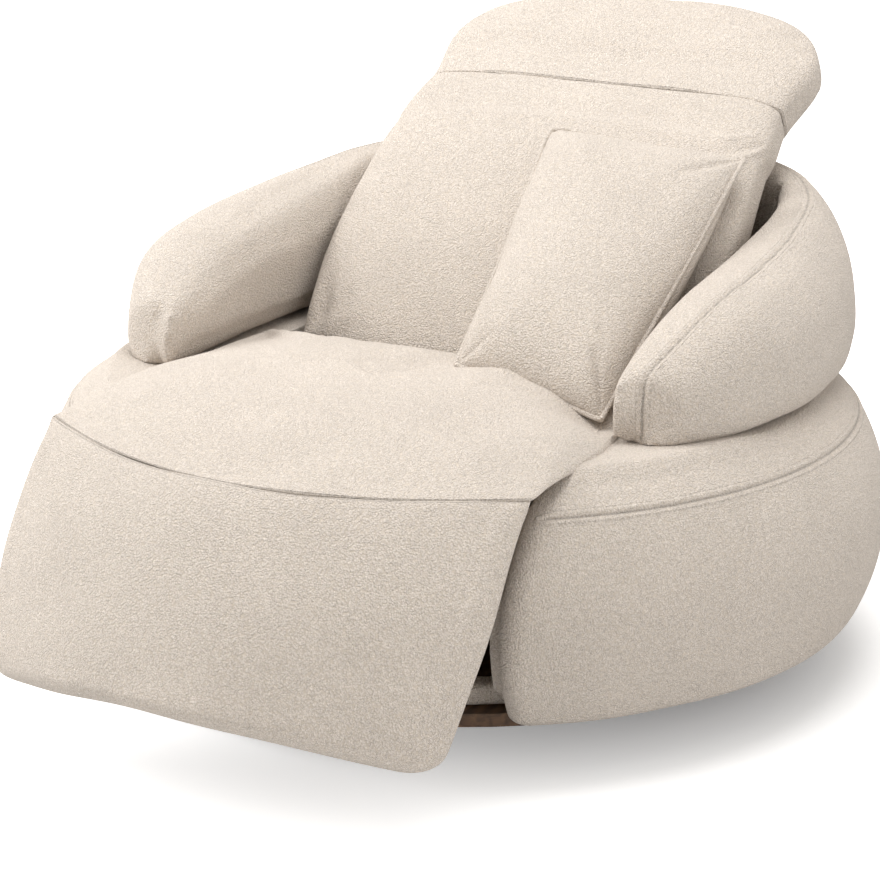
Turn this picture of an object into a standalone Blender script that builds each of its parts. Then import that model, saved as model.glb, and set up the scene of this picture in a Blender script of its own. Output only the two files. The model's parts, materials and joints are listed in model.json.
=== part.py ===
"""Round swivel recliner: drum base with two lobes, hinged flap footrest, tub arms, reclining back.

Metres, +Z up, the sitter faces -Y and left is the sitter's left (+X). The origin is on the floor under
the swivel axis. The object stands as it is shown: footrest part open, back reclined, headrest raised.
"""

import math

import bmesh
import bpy
import numpy as np
from mathutils import Matrix, Vector

FIT = 0.0003  # clearance between faces that seat on each other
RUN = 0.0008  # clearance of a part that slides or turns

# Floor base and swivel
FLOOR_PAD_HEIGHT = 0.004
FLOOR_PAD_RADIUS = 0.275
FLOOR_PLATE_RADIUS = 0.290
FLOOR_PLATE_THICKNESS = 0.008
PEDESTAL_HEIGHT = 0.0325
PEDESTAL_FOOT_RADIUS, PEDESTAL_TOP_RADIUS = 0.170, 0.135
RACE_INNER, RACE_OUTER = 0.062, 0.107
RACE_THICKNESS = 0.0085
RACE_GROOVE = 0.004
DECK_RADIUS = 0.500
DECK_THICKNESS = 0.018

# Drum base with its lobes
SEAM_RADIUS, SEAM_HEIGHT = 0.549, 0.354
WIDEST_RADIUS, WIDEST_HEIGHT = 0.590, 0.225
BOTTOM_RADIUS = 0.556
BOTTOM_ROUNDING = 0.028
SHOULDER_RADIUS, SHOULDER_HEIGHT = 0.492, 0.392
OPENING_BOTTOM, OPENING_TOP = 0.308, 0.322  # half-widths of the front opening
OPENING_REAR = 0.5085 * WIDEST_RADIUS
LOBE_EDGE_RADIUS = 0.036
DRUM_WALL = 0.045
LINER_WALL = 0.020
RIB_THICKNESS = 0.018
RIB_ANGLES = {"front_left": -26.0, "rear_left": 48.0, "rear_right": 132.0, "front_right": 206.0}
POST_WIDTH, POST_DEPTH = 0.028, 0.040
POST_SETBACK = 0.020
RIB_INNER_RADIUS = 0.67 * WIDEST_RADIUS
FRONT_RAIL_RADIUS = 0.81 * WIDEST_RADIUS
FRONT_RAIL_DEPTH, FRONT_RAIL_HEIGHT = 0.040, 0.030

# Tub of arms and back band
TUB_CENTRE_Y = 0.060
TUB_INNER_HALF_WIDTH, TUB_INNER_REAR = 0.338, 0.366
TUB_INNER_SQUARENESS = 5.0
TUB_OUTER_FRONT, TUB_OUTER_REAR = 0.484, 0.545
TUB_NOSE_ANGLE = -36.0
TUB_TOP_ANGLES = (-36.0, -29.0, -20.0, 0.0, 20.0, 40.0, 60.0, 75.0, 90.0)  # from a nose round to the rear
TUB_TOP_HEIGHTS = (0.506, 0.532, 0.548, 0.566, 0.585, 0.612, 0.638, 0.630, 0.606)
TUB_NOSE_ROUNDING = (0.0, 1.0, 2.8, 5.2, 8.0)  # degrees over which a nose rounds off
TUB_FRAME_THICKNESS = 0.015
TUB_FRAME_COVER = 0.070  # pad above the plywood frame

# Seat carriage
SEAT_RAIL_TOP = 0.312
SEAT_RAIL_HEIGHT, SEAT_RAIL_WIDTH = 0.022, 0.045
SEAT_FRAME_HALF_WIDTH = 0.285
SEAT_FRAME_FRONT, SEAT_FRAME_REAR = -0.440, -0.020
SPRING_WIRE, SPRING_PITCH, SPRING_LOOP = 0.0019, 0.036, 0.020
SPRING_ARCH = 0.008
SPRING_COUNT = 5
SPRING_SPACING = 0.098
SEAM_FRONT_HALF_WIDTH = 0.357  # the seat's front seam, where the footrest begins
SEAM_CORNER_Y, SEAM_SAGITTA, SEAM_Z = -0.468, 0.127, 0.391
SEAT_SETBACK = 0.065  # from the front seam to the cushion's front
SEAT_LIP = 0.350  # half-width of the part that lies over the lobes
SEAT_HALF_WIDTH_ARMS = 0.328
SEAT_CORE_CLEARANCE = 0.007  # between the seat's lower part and the sides of the opening
SEAT_REAR = 0.000
SEAT_CENTRE_Y = -0.270
SEAT_CROWN = 0.044
TUFT = (0.035, -0.205)
TUFT_DEPTH, TUFT_RADIUS = 0.010, 0.045

# Footrest
FOOTREST_PIVOT = (-0.470, 0.300)
FOOTREST_LOWER_Y, FOOTREST_LOWER_Z = -0.655, 0.098
FOOTREST_LOWER_HALF_WIDTH = 0.336
FOOTREST_LOWER_SAGITTA, FOOTREST_LOWER_RISE = 0.100, 0.048
FOOTREST_BULGE = 0.010
FOOTREST_SIDE_BULGE = 0.010
FOOTREST_SIDE_TAPER = 0.075  # how far the pad's sides draw in towards its back
FOOTREST_PAD_THICKNESS = 0.042
FOOTREST_CORNER = 0.034
COLUMN_SHARES = (0.15, 0.30, 0.45, 0.60, 0.74, 0.86, 0.93, 0.975, 1.0)  # columns across half the width
FOOTREST_BOARD_THICKNESS = 0.010
KNEE_FRACTION, PAD_TOP = 0.220, 0.223  # shares of the face where the knee ends and the pad begins
PAD_REAR_PARTS = (0.0, 0.30, 0.62, 0.93)  # of the way down the pad, where its rear is straight between
FOOTREST_ARM_X = SEAM_FRONT_HALF_WIDTH - 0.122
FOOTREST_ARM_THICKNESS = 0.005
LEVER_REACH = 0.060
LEVER_ANGLE = 4.0
PIN_RADIUS = 0.005
LEVER_SLOT_CLEARANCE = 0.0030
LEVER_THICKNESS = 0.008

# Mechanism
SIDE_PLATE_X, SIDE_PLATE_THICKNESS = 0.303, 0.004
SIDE_PLATE_FRONT, SIDE_PLATE_REAR = -0.5593 * WIDEST_RADIUS, 0.230
CHANNEL_DEPTH, CHANNEL_HEIGHT, CHANNEL_GAUGE = 0.0245, 0.035, 0.003
CHANNEL_TOP = 0.275
CROSS_TUBE_RADIUS, CROSS_TUBE_WALL = 0.0125, 0.002
CROSS_TUBE_Z = 0.165
CROSS_TUBE_YS = {"front": SIDE_PLATE_FRONT + 0.080, "rear": SIDE_PLATE_REAR - 0.080}
MOTOR_RADIUS, MOTOR_ROD_RADIUS = 0.024, 0.009
FOOTREST_MOTOR_FRONT, FOOTREST_MOTOR_REAR = -0.330, 0.000
RECLINE_MOTOR_X = 0.110
RECLINE_MOTOR_FRONT, RECLINE_MOTOR_REAR = -0.260, -0.010

# Back and headrest
BACK_PIVOT = (0.140, 0.326)
BACK_START = (0.004, 0.350)  # lower end of the front surface
BACK_LENGTH = 0.560
BACK_LEAN_LOW, BACK_LEAN_HIGH = 30.0, 62.0
BACK_HALF_WIDTH_LOW, BACK_HALF_WIDTH_HIGH = 0.304, 0.290
BACK_FOOT_NARROWING = 0.034
BACK_SIDE_BULGE = 0.022
BACK_PAD_THICKNESS, BACK_TOP_THICKNESS = 0.100, 0.076
BACK_ARM_X, BACK_ARM_THICKNESS = 0.2845, 0.005
BACK_BOARD_HALF_WIDTH = 0.240
BACK_EAR_TOP = 0.375 * BACK_LENGTH  # up to here the board fills the gap between the hinge arms
BACK_STATIONS = [s * BACK_LENGTH for s in (0.170, 0.268, 0.375, 0.482, 0.589, 0.696, 0.786, 0.857, 0.920)]
BACK_THINNING_START = 0.607 * BACK_LENGTH
BACK_BOARD_THICKNESS = 0.012
BACK_COVER_THICKNESS = 0.018
HEADREST_LENGTH = 0.215
HEADREST_LEAN_TOP = 56.0
HEADREST_FLARE = 0.012
HEADREST_ROUND_START = 0.075  # above this its sides curve in to the arched top
SEAM_RIDGE_GAP, SEAM_RIDGE_HALF, SEAM_GROOVE = 0.0014, 0.0017, 0.0075
RECLINE_LEVER_REACH = 0.090
RATCHET_X = 0.165
RATCHET_DEPTH = 0.020
RATCHET_PLATE = 0.004
RATCHET_RADIUS = 0.0075
RATCHET_PIN = 0.0035

# Loose lumbar pillow
PILLOW_WIDTH_LOW, PILLOW_WIDTH_HIGH = 0.228, 0.286
PILLOW_HEIGHT, PILLOW_THICKNESS = 0.466, 0.130
PILLOW_FOOT = (0.1871, -0.1425, 0.4339)
PILLOW_LEAN = 56.0
PILLOW_TURN, PILLOW_ROLL = 17.0, -10.0
PILLOW_WELT = 0.006


def clear_scene():
    for obj in list(bpy.data.objects):
        bpy.data.objects.remove(obj)


def material(name, colour, roughness, metallic=0.0):
    made = bpy.data.materials.new(name)
    made.use_nodes = True
    shader = made.node_tree.nodes["Principled BSDF"]
    shader.inputs["Base Color"].default_value = (*colour, 1.0)
    shader.inputs["Roughness"].default_value = roughness
    shader.inputs["Metallic"].default_value = metallic
    return made


FINISHES = {
    "boucle": ((0.60, 0.53, 0.44), 0.95, 0.0),
    "wood": ((0.30, 0.19, 0.11), 0.60, 0.0),
    "dark_wood": ((0.05, 0.03, 0.02), 0.70, 0.0),
    "steel": ((0.42, 0.42, 0.43), 0.45, 1.0),
    "black_steel": ((0.03, 0.03, 0.03), 0.50, 0.6),
    "spring_steel": ((0.25, 0.25, 0.26), 0.35, 1.0),
    "motor_plastic": ((0.05, 0.05, 0.055), 0.55, 0.0),
    "rubber": ((0.02, 0.02, 0.02), 0.90, 0.0),
    "nylon": ((0.75, 0.74, 0.70), 0.50, 0.0),
}


def new_object(name, bm, finish):
    """Object from a bmesh, faces outward, with its own material."""
    bmesh.ops.recalc_face_normals(bm, faces=bm.faces)
    mesh = bpy.data.meshes.new(name)
    bm.to_mesh(mesh)
    bm.free()
    mesh.shade_smooth()
    mesh.set_sharp_from_angle(angle=math.radians(35))
    obj = bpy.data.objects.new(name, mesh)
    obj.data.materials.append(material(name, *FINISHES[finish]))
    bpy.context.scene.collection.objects.link(obj)
    return obj


def ring_bmesh(rings):
    """Closed solid through rings of equally many points, with a flat end on the first and the last ring."""
    bm = bmesh.new()
    loops = [[bm.verts.new(Vector(point)) for point in ring] for ring in rings]
    for lower, upper in zip(loops, loops[1:]):
        count = len(lower)
        for i in range(count):
            j = (i + 1) % count
            bm.faces.new((lower[i], lower[j], upper[j], upper[i]))
    bm.faces.new(loops[0])
    bm.faces.new(list(reversed(loops[-1])))
    return bm


def loft(name, rings, finish):
    return new_object(name, ring_bmesh(rings), finish)


def extrusion(name, outline, direction, depth, finish):
    """Solid of a flat outline of 3-D points, pushed along a direction."""
    step = Vector(direction).normalized() * depth
    return loft(name, [outline, [Vector(point) + step for point in outline]], finish)


def box(name, low, high, finish, bevel=0.0):
    bm = bmesh.new()
    bmesh.ops.create_cube(bm, size=1.0)
    size = [b - a for a, b in zip(low, high)]
    centre = [(a + b) / 2 for a, b in zip(low, high)]
    bmesh.ops.scale(bm, vec=size, verts=bm.verts)
    bmesh.ops.translate(bm, vec=centre, verts=bm.verts)
    if bevel:
        bmesh.ops.bevel(bm, geom=bm.edges[:], offset=bevel, segments=2, affect="EDGES", profile=0.5)
    return new_object(name, bm, finish)


def turned(name, profile, finish, steps=28):
    """Solid of revolution about Z: profile is a closed list of (radius, height)."""
    rings = []
    for i in range(steps):
        angle = 2 * math.pi * i / steps
        rings.append([(r * math.cos(angle), r * math.sin(angle), z) for r, z in profile])
    bm = bmesh.new()
    loops = [[bm.verts.new(point) for point in ring] for ring in rings]
    count = len(profile)
    for i in range(steps):
        this, after = loops[i], loops[(i + 1) % steps]
        for j in range(count):
            k = (j + 1) % count
            bm.faces.new((this[j], after[j], after[k], this[k]))
    return new_object(name, bm, finish)


def disc(name, profile, finish, steps=40):
    """Solid of revolution whose profile starts and ends on the axis: (radius, height) from low to high."""
    rings = []
    for r, z in profile:
        angles = [2 * math.pi * i / steps for i in range(steps)]
        rings.append([(r * math.cos(a), r * math.sin(a), z) for a in angles])
    return loft(name, rings, finish)


def rod(name, start, end, radius, finish, sides=16):
    """Round bar between two points."""
    axis = Vector(end) - Vector(start)
    turn = axis.to_track_quat("Z", "Y").to_matrix()
    angles = [2 * math.pi * i / sides for i in range(sides)]
    circle = [turn @ Vector((radius * math.cos(a), radius * math.sin(a), 0)) for a in angles]
    return loft(name, [[Vector(start) + p for p in circle], [Vector(end) + p for p in circle]], finish)


def pin(name, x0, x1, y, z, radius, finish="steel", sides=16):
    """Round bar across the width, from x0 to x1."""
    return rod(name, (x0, y, z), (x1, y, z), radius, finish, sides)


def shaft(name, x, y0, y1, z, radius, finish="steel", sides=16):
    """Round bar along the depth, from y0 to y1."""
    return rod(name, (x, y0, z), (x, y1, z), radius, finish, sides)


def smooth(share):
    """Eases a share from 0 to 1, level at both ends."""
    share = max(0.0, min(1.0, share))
    return share * share * (3 - 2 * share)


def boolean(obj, other, operation):
    change = obj.modifiers.new(operation.lower(), "BOOLEAN")
    change.operation = operation
    change.object = other
    other.hide_render = True
    other.display_type = "WIRE"


def cut(obj, cutter):
    boolean(obj, cutter, "DIFFERENCE")


def add(obj, other):
    boolean(obj, other, "UNION")


def apply_modifiers(obj):
    """Bakes the object's modifiers into its mesh, and removes their helpers."""
    helpers = {m.object for m in obj.modifiers if m.type == "BOOLEAN"}
    graph = bpy.context.evaluated_depsgraph_get()
    mesh = bpy.data.meshes.new_from_object(obj.evaluated_get(graph))
    obj.modifiers.clear()
    obj.data = mesh
    for helper in helpers:
        bpy.data.objects.remove(helper)


def mirrored(make):
    """Runs make(side, label) for the sitter's left (+X) and right (-X)."""
    for side, label in ((1, "left"), (-1, "right")):
        make(side, label)


def floor_heights():
    """Heights of the faces from the floor up to the drum's bottom."""
    plate = FLOOR_PAD_HEIGHT + FIT
    lower = plate + FLOOR_PLATE_THICKNESS + PEDESTAL_HEIGHT + FIT
    upper = lower + RACE_THICKNESS + FIT
    deck = upper + RACE_THICKNESS + FIT
    return {
        "plate": plate,
        "lower_race": lower,
        "upper_race": upper,
        "deck": deck,
        "drum": deck + DECK_THICKNESS + FIT,
    }


HEIGHTS = floor_heights()
DRUM_BOTTOM = HEIGHTS["drum"]


def floor_base():
    disc("floor_pad", [(FLOOR_PAD_RADIUS, 0), (FLOOR_PAD_RADIUS, FLOOR_PAD_HEIGHT)], "rubber")
    z = HEIGHTS["plate"]
    edge = 0.003
    top = z + FLOOR_PLATE_THICKNESS
    high = top + PEDESTAL_HEIGHT
    disc(
        "floor_plate",
        [
            (FLOOR_PLATE_RADIUS, z),
            (FLOOR_PLATE_RADIUS, top - edge),
            (FLOOR_PLATE_RADIUS - edge, top),
            (PEDESTAL_FOOT_RADIUS, top),
            (PEDESTAL_FOOT_RADIUS, top + 0.004),
            (PEDESTAL_TOP_RADIUS, top + 0.014),
            (PEDESTAL_TOP_RADIUS, high),
        ],
        "black_steel",
    )


def swivel_race(name, low, groove_up, finish):
    """Flat ring with a ball groove in the face that meets the other race."""
    high = low + RACE_THICKNESS
    middle = (RACE_INNER + RACE_OUTER) / 2
    arc = [math.radians(a) for a in (180, 120, 60, 0)]
    if groove_up:
        groove = [(middle - RACE_GROOVE * math.cos(a), high - RACE_GROOVE * math.sin(a)) for a in arc]
        profile = [(RACE_INNER, low), (RACE_OUTER, low), (RACE_OUTER, high), *groove, (RACE_INNER, high)]
    else:
        groove = [(middle + RACE_GROOVE * math.cos(a), low + RACE_GROOVE * math.sin(a)) for a in arc]
        profile = [(RACE_INNER, low), *groove, (RACE_OUTER, low), (RACE_OUTER, high), (RACE_INNER, high)]
    turned(name, profile, finish)


def swivel():
    swivel_race("swivel_lower_race", HEIGHTS["lower_race"], True, "steel")
    swivel_race("swivel_upper_race", HEIGHTS["upper_race"], False, "steel")
    z = HEIGHTS["deck"]
    disc("base_deck", [(DECK_RADIUS, z), (DECK_RADIUS, z + DECK_THICKNESS)], "dark_wood", steps=64)


def drum_radius(z):
    """Radius of the drum's side at a height: a barrel between the bottom rounding and the top seam."""
    if z < WIDEST_HEIGHT:
        share = (WIDEST_HEIGHT - z) / (WIDEST_HEIGHT - DRUM_BOTTOM)
        return WIDEST_RADIUS - (WIDEST_RADIUS - BOTTOM_RADIUS) * share**2.2
    share = (z - WIDEST_HEIGHT) / (SEAM_HEIGHT - WIDEST_HEIGHT)
    return WIDEST_RADIUS - (WIDEST_RADIUS - SEAM_RADIUS) * share**2


def drum_levels():
    """(radius, height) of the drum's outside from its bottom edge up over the shoulder."""
    levels = []
    for a in (0, 30, 60):
        rise = BOTTOM_ROUNDING * (1 - math.cos(math.radians(a)))
        inset = BOTTOM_ROUNDING * (1 - math.sin(math.radians(a)))
        levels.append((drum_radius(DRUM_BOTTOM + rise) - inset, DRUM_BOTTOM + rise))
    for z in (0.112, 0.155, 0.200, 0.250, 0.310, SEAM_HEIGHT):
        levels.append((drum_radius(z), z))
    for share in (0.35, 0.70, 1.0):
        rise = 0.7 * share + 0.3 * math.sin(share * math.pi / 2)
        radius = SEAM_RADIUS - (SEAM_RADIUS - SHOULDER_RADIUS) * share
        levels.append((radius, SEAM_HEIGHT + (SHOULDER_HEIGHT - SEAM_HEIGHT) * rise))
    return levels


def opening_half_width(z):
    share = (z - DRUM_BOTTOM) / (SHOULDER_HEIGHT - DRUM_BOTTOM)
    return OPENING_BOTTOM + (OPENING_TOP - OPENING_BOTTOM) * share


def horseshoe(radius, half_width, rear, edge, rear_corner, z, steps=32):
    """Outline of the drum at one height: a circle with an opening at the front and rounded lobe edges."""
    centre = Vector((half_width + edge, -math.sqrt((radius - edge) ** 2 - (half_width + edge) ** 2)))
    turn = math.atan2(centre.y, centre.x)
    points = []
    for i in range(5):
        a = -math.pi + (turn + math.pi) * i / 5
        points.append((centre.x + edge * math.cos(a), centre.y + edge * math.sin(a)))
    for i in range(steps + 1):
        a = turn + (math.pi - 2 * turn) * i / steps
        points.append((radius * math.cos(a), radius * math.sin(a)))
    for i in range(1, 6):
        a = math.pi - turn + (math.pi + turn) * i / 5
        points.append((-centre.x + edge * math.cos(a), centre.y + edge * math.sin(a)))
    corner = half_width - rear_corner
    for side, first in ((-1, 180), (1, 90)):
        for i in range(4):
            a = math.radians(first - 30 * i)
            across = side * corner + rear_corner * math.cos(a)
            points.append((across, rear - rear_corner * (1 - math.sin(a))))
    return [(x, y, z) for x, y in points]


CAVITY_TOP = SEAM_HEIGHT - 0.013


def drum():
    rings = []
    for r, z in drum_levels():
        rings.append(horseshoe(r, opening_half_width(z), OPENING_REAR, LOBE_EDGE_RADIUS, 0.06, z))
    shell = loft("base_drum_cover", rings, "boucle")
    heights = (DRUM_BOTTOM - 0.010, DRUM_BOTTOM + 0.030, 0.155, 0.225, 0.300, CAVITY_TOP)
    rear = OPENING_REAR + LINER_WALL
    inside = []
    for z in heights:
        mouth = opening_half_width(z) + LINER_WALL
        inside.append(horseshoe(cavity_radius(z), mouth, rear, 0.012, 0.04, z, steps=26))
    hollow = loft("drum_hollow", inside, "boucle")
    cut(shell, hollow)
    apply_modifiers(shell)


def cavity_radius(z):
    """Inner face of the drum's padded wall."""
    low = DRUM_BOTTOM + BOTTOM_ROUNDING
    return drum_radius(min(max(z, low), SEAM_HEIGHT)) - DRUM_WALL - 0.012


def drum_ribs():
    """Plywood ribs between the deck and the drum's top, one to each angle."""
    low = DRUM_BOTTOM
    top = CAVITY_TOP - FIT
    heights = [low, 0.155, 0.225, 0.300, top]
    for label, degrees in RIB_ANGLES.items():
        angle = math.radians(degrees)
        along = Vector((math.cos(angle), math.sin(angle), 0))
        side = Vector((-along.y, along.x, 0))
        inner = max(RIB_INNER_RADIUS, (OPENING_TOP + LINER_WALL + 0.008) / abs(along.x))
        if along.y > 0:
            rear = (OPENING_REAR + LINER_WALL + 0.008) / along.y
            inner = max(RIB_INNER_RADIUS, min(inner, rear))
        half_chord = RIB_THICKNESS / 2
        outer = [math.sqrt(cavity_radius(z) ** 2 - half_chord**2) - FIT - 0.0025 for z in heights]
        reaches = [inner, min(outer[0], DECK_RADIUS - 0.002)]
        outline = [along * r + Vector((0, 0, low)) for r in reaches]
        outline += [along * r + Vector((0, 0, z)) for r, z in zip(outer[1:], heights[1:])]
        outline.append(along * inner + Vector((0, 0, top)))
        start = [point - side * half_chord for point in outline]
        extrusion("base_rib_" + label, start, side, RIB_THICKNESS, "wood")


def opening_lining():
    """Fabric-covered posts inside the lobes' front edges and the curved rail that joins them below."""
    rail_top = DRUM_BOTTOM + FRONT_RAIL_HEIGHT

    def post(side, label):
        rings = []
        for z in (rail_top + FIT, 0.200, 0.300, SEAM_HEIGHT - 0.030):
            outer = opening_half_width(z) - FIT
            front = -math.sqrt(drum_radius(z) ** 2 - outer**2) + LOBE_EDGE_RADIUS + POST_SETBACK
            r = 0.008
            rings.append(
                [
                    (side * outer, front + POST_DEPTH, z),
                    (side * outer, front, z),
                    (side * (outer - POST_WIDTH + r), front, z),
                    (side * (outer - POST_WIDTH + 0.3 * r), front + 0.3 * r, z),
                    (side * (outer - POST_WIDTH), front + r, z),
                    (side * (outer - POST_WIDTH), front + POST_DEPTH, z),
                ]
            )
        loft("inner_post_" + label, rings, "boucle")

    mirrored(post)
    r = 0.008
    section = [
        (FRONT_RAIL_RADIUS - FRONT_RAIL_DEPTH, DRUM_BOTTOM),
        (FRONT_RAIL_RADIUS - r, DRUM_BOTTOM),
        (FRONT_RAIL_RADIUS, DRUM_BOTTOM + r),
        (FRONT_RAIL_RADIUS, rail_top - r),
        (FRONT_RAIL_RADIUS - r, rail_top),
        (FRONT_RAIL_RADIUS - FRONT_RAIL_DEPTH, rail_top),
    ]
    rings = []
    steps = 14
    for i in range(steps + 1):
        share = -1 + 2 * i / steps
        ring = []
        for rho, z in section:
            a = share * math.asin((opening_half_width(z) - FIT) / rho) - math.pi / 2
            ring.append((rho * math.cos(a), rho * math.sin(a), z))
        rings.append(ring)
    loft("front_rail", rings, "boucle")


def tub_inner(angle):
    """Distance of the tub's inner foot from the tub's centre."""
    c, s = abs(math.cos(angle)), abs(math.sin(angle))
    depth = TUB_INNER_REAR if math.sin(angle) > 0 else 0.60
    n = TUB_INNER_SQUARENESS
    return ((c / TUB_INNER_HALF_WIDTH) ** n + (s / depth) ** n) ** (-1 / n)


def tub_outer(angle):
    """Distance of the tub's outside from the tub's centre: nearly a circle, wider at the rear."""
    s = math.sin(angle)
    radius = TUB_OUTER_FRONT + (TUB_OUTER_REAR - TUB_OUTER_FRONT) * smooth((s + 0.45) / 1.30)
    return -TUB_CENTRE_Y * s + math.sqrt(radius**2 - (TUB_CENTRE_Y * math.cos(angle)) ** 2)


def tub_height(angle):
    """Height of the tub's top: it climbs from each nose, is highest beside the back and dips behind it."""
    degrees = math.degrees(angle)
    return float(np.interp(min(degrees, 180 - degrees), TUB_TOP_ANGLES, TUB_TOP_HEIGHTS))


def tub_ring(angle, nose, steps=18):
    """Section of the tub at an angle: a leaning bean. nose is 0 at a tip and 1 behind it."""
    low = SHOULDER_HEIGHT + FIT
    inner, outer = tub_inner(angle), tub_outer(angle)
    middle = (inner + outer) / 2
    half = (outer - inner) / 2 * (0.52 + 0.48 * nose)
    top = low + (tub_height(angle) - low) * (0.76 + 0.24 * nose)
    points = []
    for i in range(steps):
        t = 2 * math.pi * (i + 0.5) / steps
        c, s = math.cos(t), math.sin(t)
        across = math.copysign(abs(c) ** 0.75, c) * half
        up = math.copysign(abs(s) ** 0.80, s)
        z = low + (top - low) * (0.5 + 0.5 * up)
        lift = (z - low) / 0.2
        across += 0.012 * lift * math.sin(math.pi * min(lift, 1.0) * 0.5)
        rho = middle + across
        points.append((rho * math.cos(angle), TUB_CENTRE_Y + rho * math.sin(angle), z))
    return points


def tub():
    stations = 24
    rounding = TUB_NOSE_ROUNDING
    behind_nose = TUB_NOSE_ANGLE + rounding[-1]
    middle = np.linspace(behind_nose, 180 - behind_nose, stations + 1)
    start = [TUB_NOSE_ANGLE + step for step in rounding[:-1]]
    end = [180 - angle for angle in reversed(start)]
    rings = []
    for degrees in (*start, *middle, *end):
        from_tip = min(degrees, 180 - degrees) - TUB_NOSE_ANGLE
        nose = math.sqrt(max(0.0, 1 - (1 - min(from_tip / rounding[-1], 1.0)) ** 2))
        rings.append(tub_ring(math.radians(degrees), nose))
    pad = loft("tub_pad", rings, "boucle")
    tub_frame("tub_frame", 0.0, "wood")
    slot = tub_frame("tub_frame_slot", 0.0008, "wood")
    cut(pad, slot)
    apply_modifiers(pad)


def tub_frame(name, grow, finish):
    """Bent plywood wall inside the tub. A positive grow makes the slot that it stands in."""
    low = SHOULDER_HEIGHT + FIT - (0.02 if grow else 0.0)
    margin = math.radians(22.0)
    tip = math.radians(TUB_NOSE_ANGLE) + margin - grow * 2
    stations = 26
    rings = []
    for i in range(stations + 1):
        angle = tip + (math.pi - 2 * tip) * i / stations
        middle = (tub_inner(angle) + tub_outer(angle)) / 2 + 0.004
        high = tub_height(angle) - TUB_FRAME_COVER + grow
        half = TUB_FRAME_THICKNESS / 2 + grow
        ring = []
        near, far = middle - half, middle + half
        for rho, z in ((near, low), (far, low), (far, high), (near, high)):
            ring.append((rho * math.cos(angle), TUB_CENTRE_Y + rho * math.sin(angle), z))
        rings.append(ring)
    return loft(name, rings, finish)


def seam_y(x):
    """Front seam of the seat: an arc across the width."""
    return SEAM_CORNER_Y - SEAM_SAGITTA * (1 - (x / SEAM_FRONT_HALF_WIDTH) ** 2)


SEAT_BOTTOM = SEAT_RAIL_TOP + FIT + 2 * SPRING_WIRE + SPRING_ARCH + FIT


def seat_outline(half, arm_half, setback):
    """Outline of the seat cushion seen from above, counter-clockwise from the front right corner."""
    shares = [share for share in COLUMN_SHARES if share < 0.88]
    spread = min(1.0, (half - 0.030) / (shares[-1] * SEAM_FRONT_HALF_WIDTH))
    across = [share * SEAM_FRONT_HALF_WIDTH * spread for share in shares]
    xs = [-x for x in reversed(across)] + [0.0] + across
    front = [(x, seam_y(x) + setback) for x in xs]
    corner_y = seam_y(half) + setback
    side = [
        (half - 0.009, corner_y + 0.005),
        (half, corner_y + 0.030),
        (half, -0.320),
        (half - 0.12 * (half - arm_half), -0.250),
        (arm_half + 0.15 * (half - arm_half), -0.185),
        (arm_half, -0.120),
        (arm_half, SEAT_REAR - 0.050),
        (arm_half - 0.012, SEAT_REAR - 0.014),
        (arm_half - 0.045, SEAT_REAR),
    ]
    rear = [(x, SEAT_REAR) for x in (0.140, 0.0, -0.140)]
    return front + side + rear + [(-x, y) for x, y in reversed(side)]


def seat_surface(x, y, share):
    """Height of the seat's top: crowned, rounded off at its edge, with one tuft."""
    across = abs(x) / SEAM_FRONT_HALF_WIDTH
    ahead = min(1.0, max(0.0, (-0.18 - y) / 0.40))
    crown = (1 - across**2.6) * (1 - ahead**2)
    z = SEAM_Z + 0.004 + SEAT_CROWN * crown * (1 - share**12)
    from_tuft = math.hypot(x - TUFT[0], y - TUFT[1])
    return z - TUFT_DEPTH * math.exp(-((from_tuft / TUFT_RADIUS) ** 2))


def seat_cushion():
    outline = seat_outline(SEAT_LIP, SEAT_HALF_WIDTH_ARMS, SEAT_SETBACK)
    narrow = opening_half_width(SEAT_BOTTOM) - SEAT_CORE_CLEARANCE
    core = seat_outline(narrow, narrow, SEAT_SETBACK + 0.002)
    centre = SEAT_CENTRE_Y
    lip = SHOULDER_HEIGHT + 2 * FIT
    under = [(x, max(y, SEAT_FRAME_FRONT - 0.010)) for x, y in core]
    side = [(under, 0.03, SEAT_BOTTOM), (under, 0.96, SEAT_BOTTOM), (core, 1.0, SEAT_BOTTOM + 0.035)]
    side += [(core, 1.0, lip), (outline, 1.0, lip)]
    rings = []
    for shape, s, z in side:
        rings.append([(s * x, centre + s * (y - centre), z) for x, y in shape])
    for s in (1.0, 0.965, 0.90, 0.80, 0.66, 0.48, 0.28, 0.10):
        ring = []
        for x, y in outline:
            px, py = s * x, centre + s * (y - centre)
            ring.append((px, py, seat_surface(px, py, s)))
        rings.append(ring)
    loft("seat_cushion", rings, "boucle")


def seat_frame():
    low = SEAT_RAIL_TOP - SEAT_RAIL_HEIGHT
    half = SEAT_FRAME_HALF_WIDTH
    inner = half - SEAT_RAIL_WIDTH
    front, rear = SEAT_FRAME_FRONT, SEAT_FRAME_REAR

    def side_rail(side, label):
        x0, x1 = sorted((side * inner, side * half))
        box("seat_rail_" + label, (x0, front, low), (x1, rear, SEAT_RAIL_TOP), "wood", bevel=0.002)

    mirrored(side_rail)
    ends = {"front": (front, front + SEAT_RAIL_WIDTH), "rear": (rear - SEAT_RAIL_WIDTH, rear)}
    for label, (y0, y1) in ends.items():
        x0, x1 = -inner + FIT, inner - FIT
        box("seat_rail_" + label, (x0, y0, low), (x1, y1, SEAT_RAIL_TOP), "wood", bevel=0.002)


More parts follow.
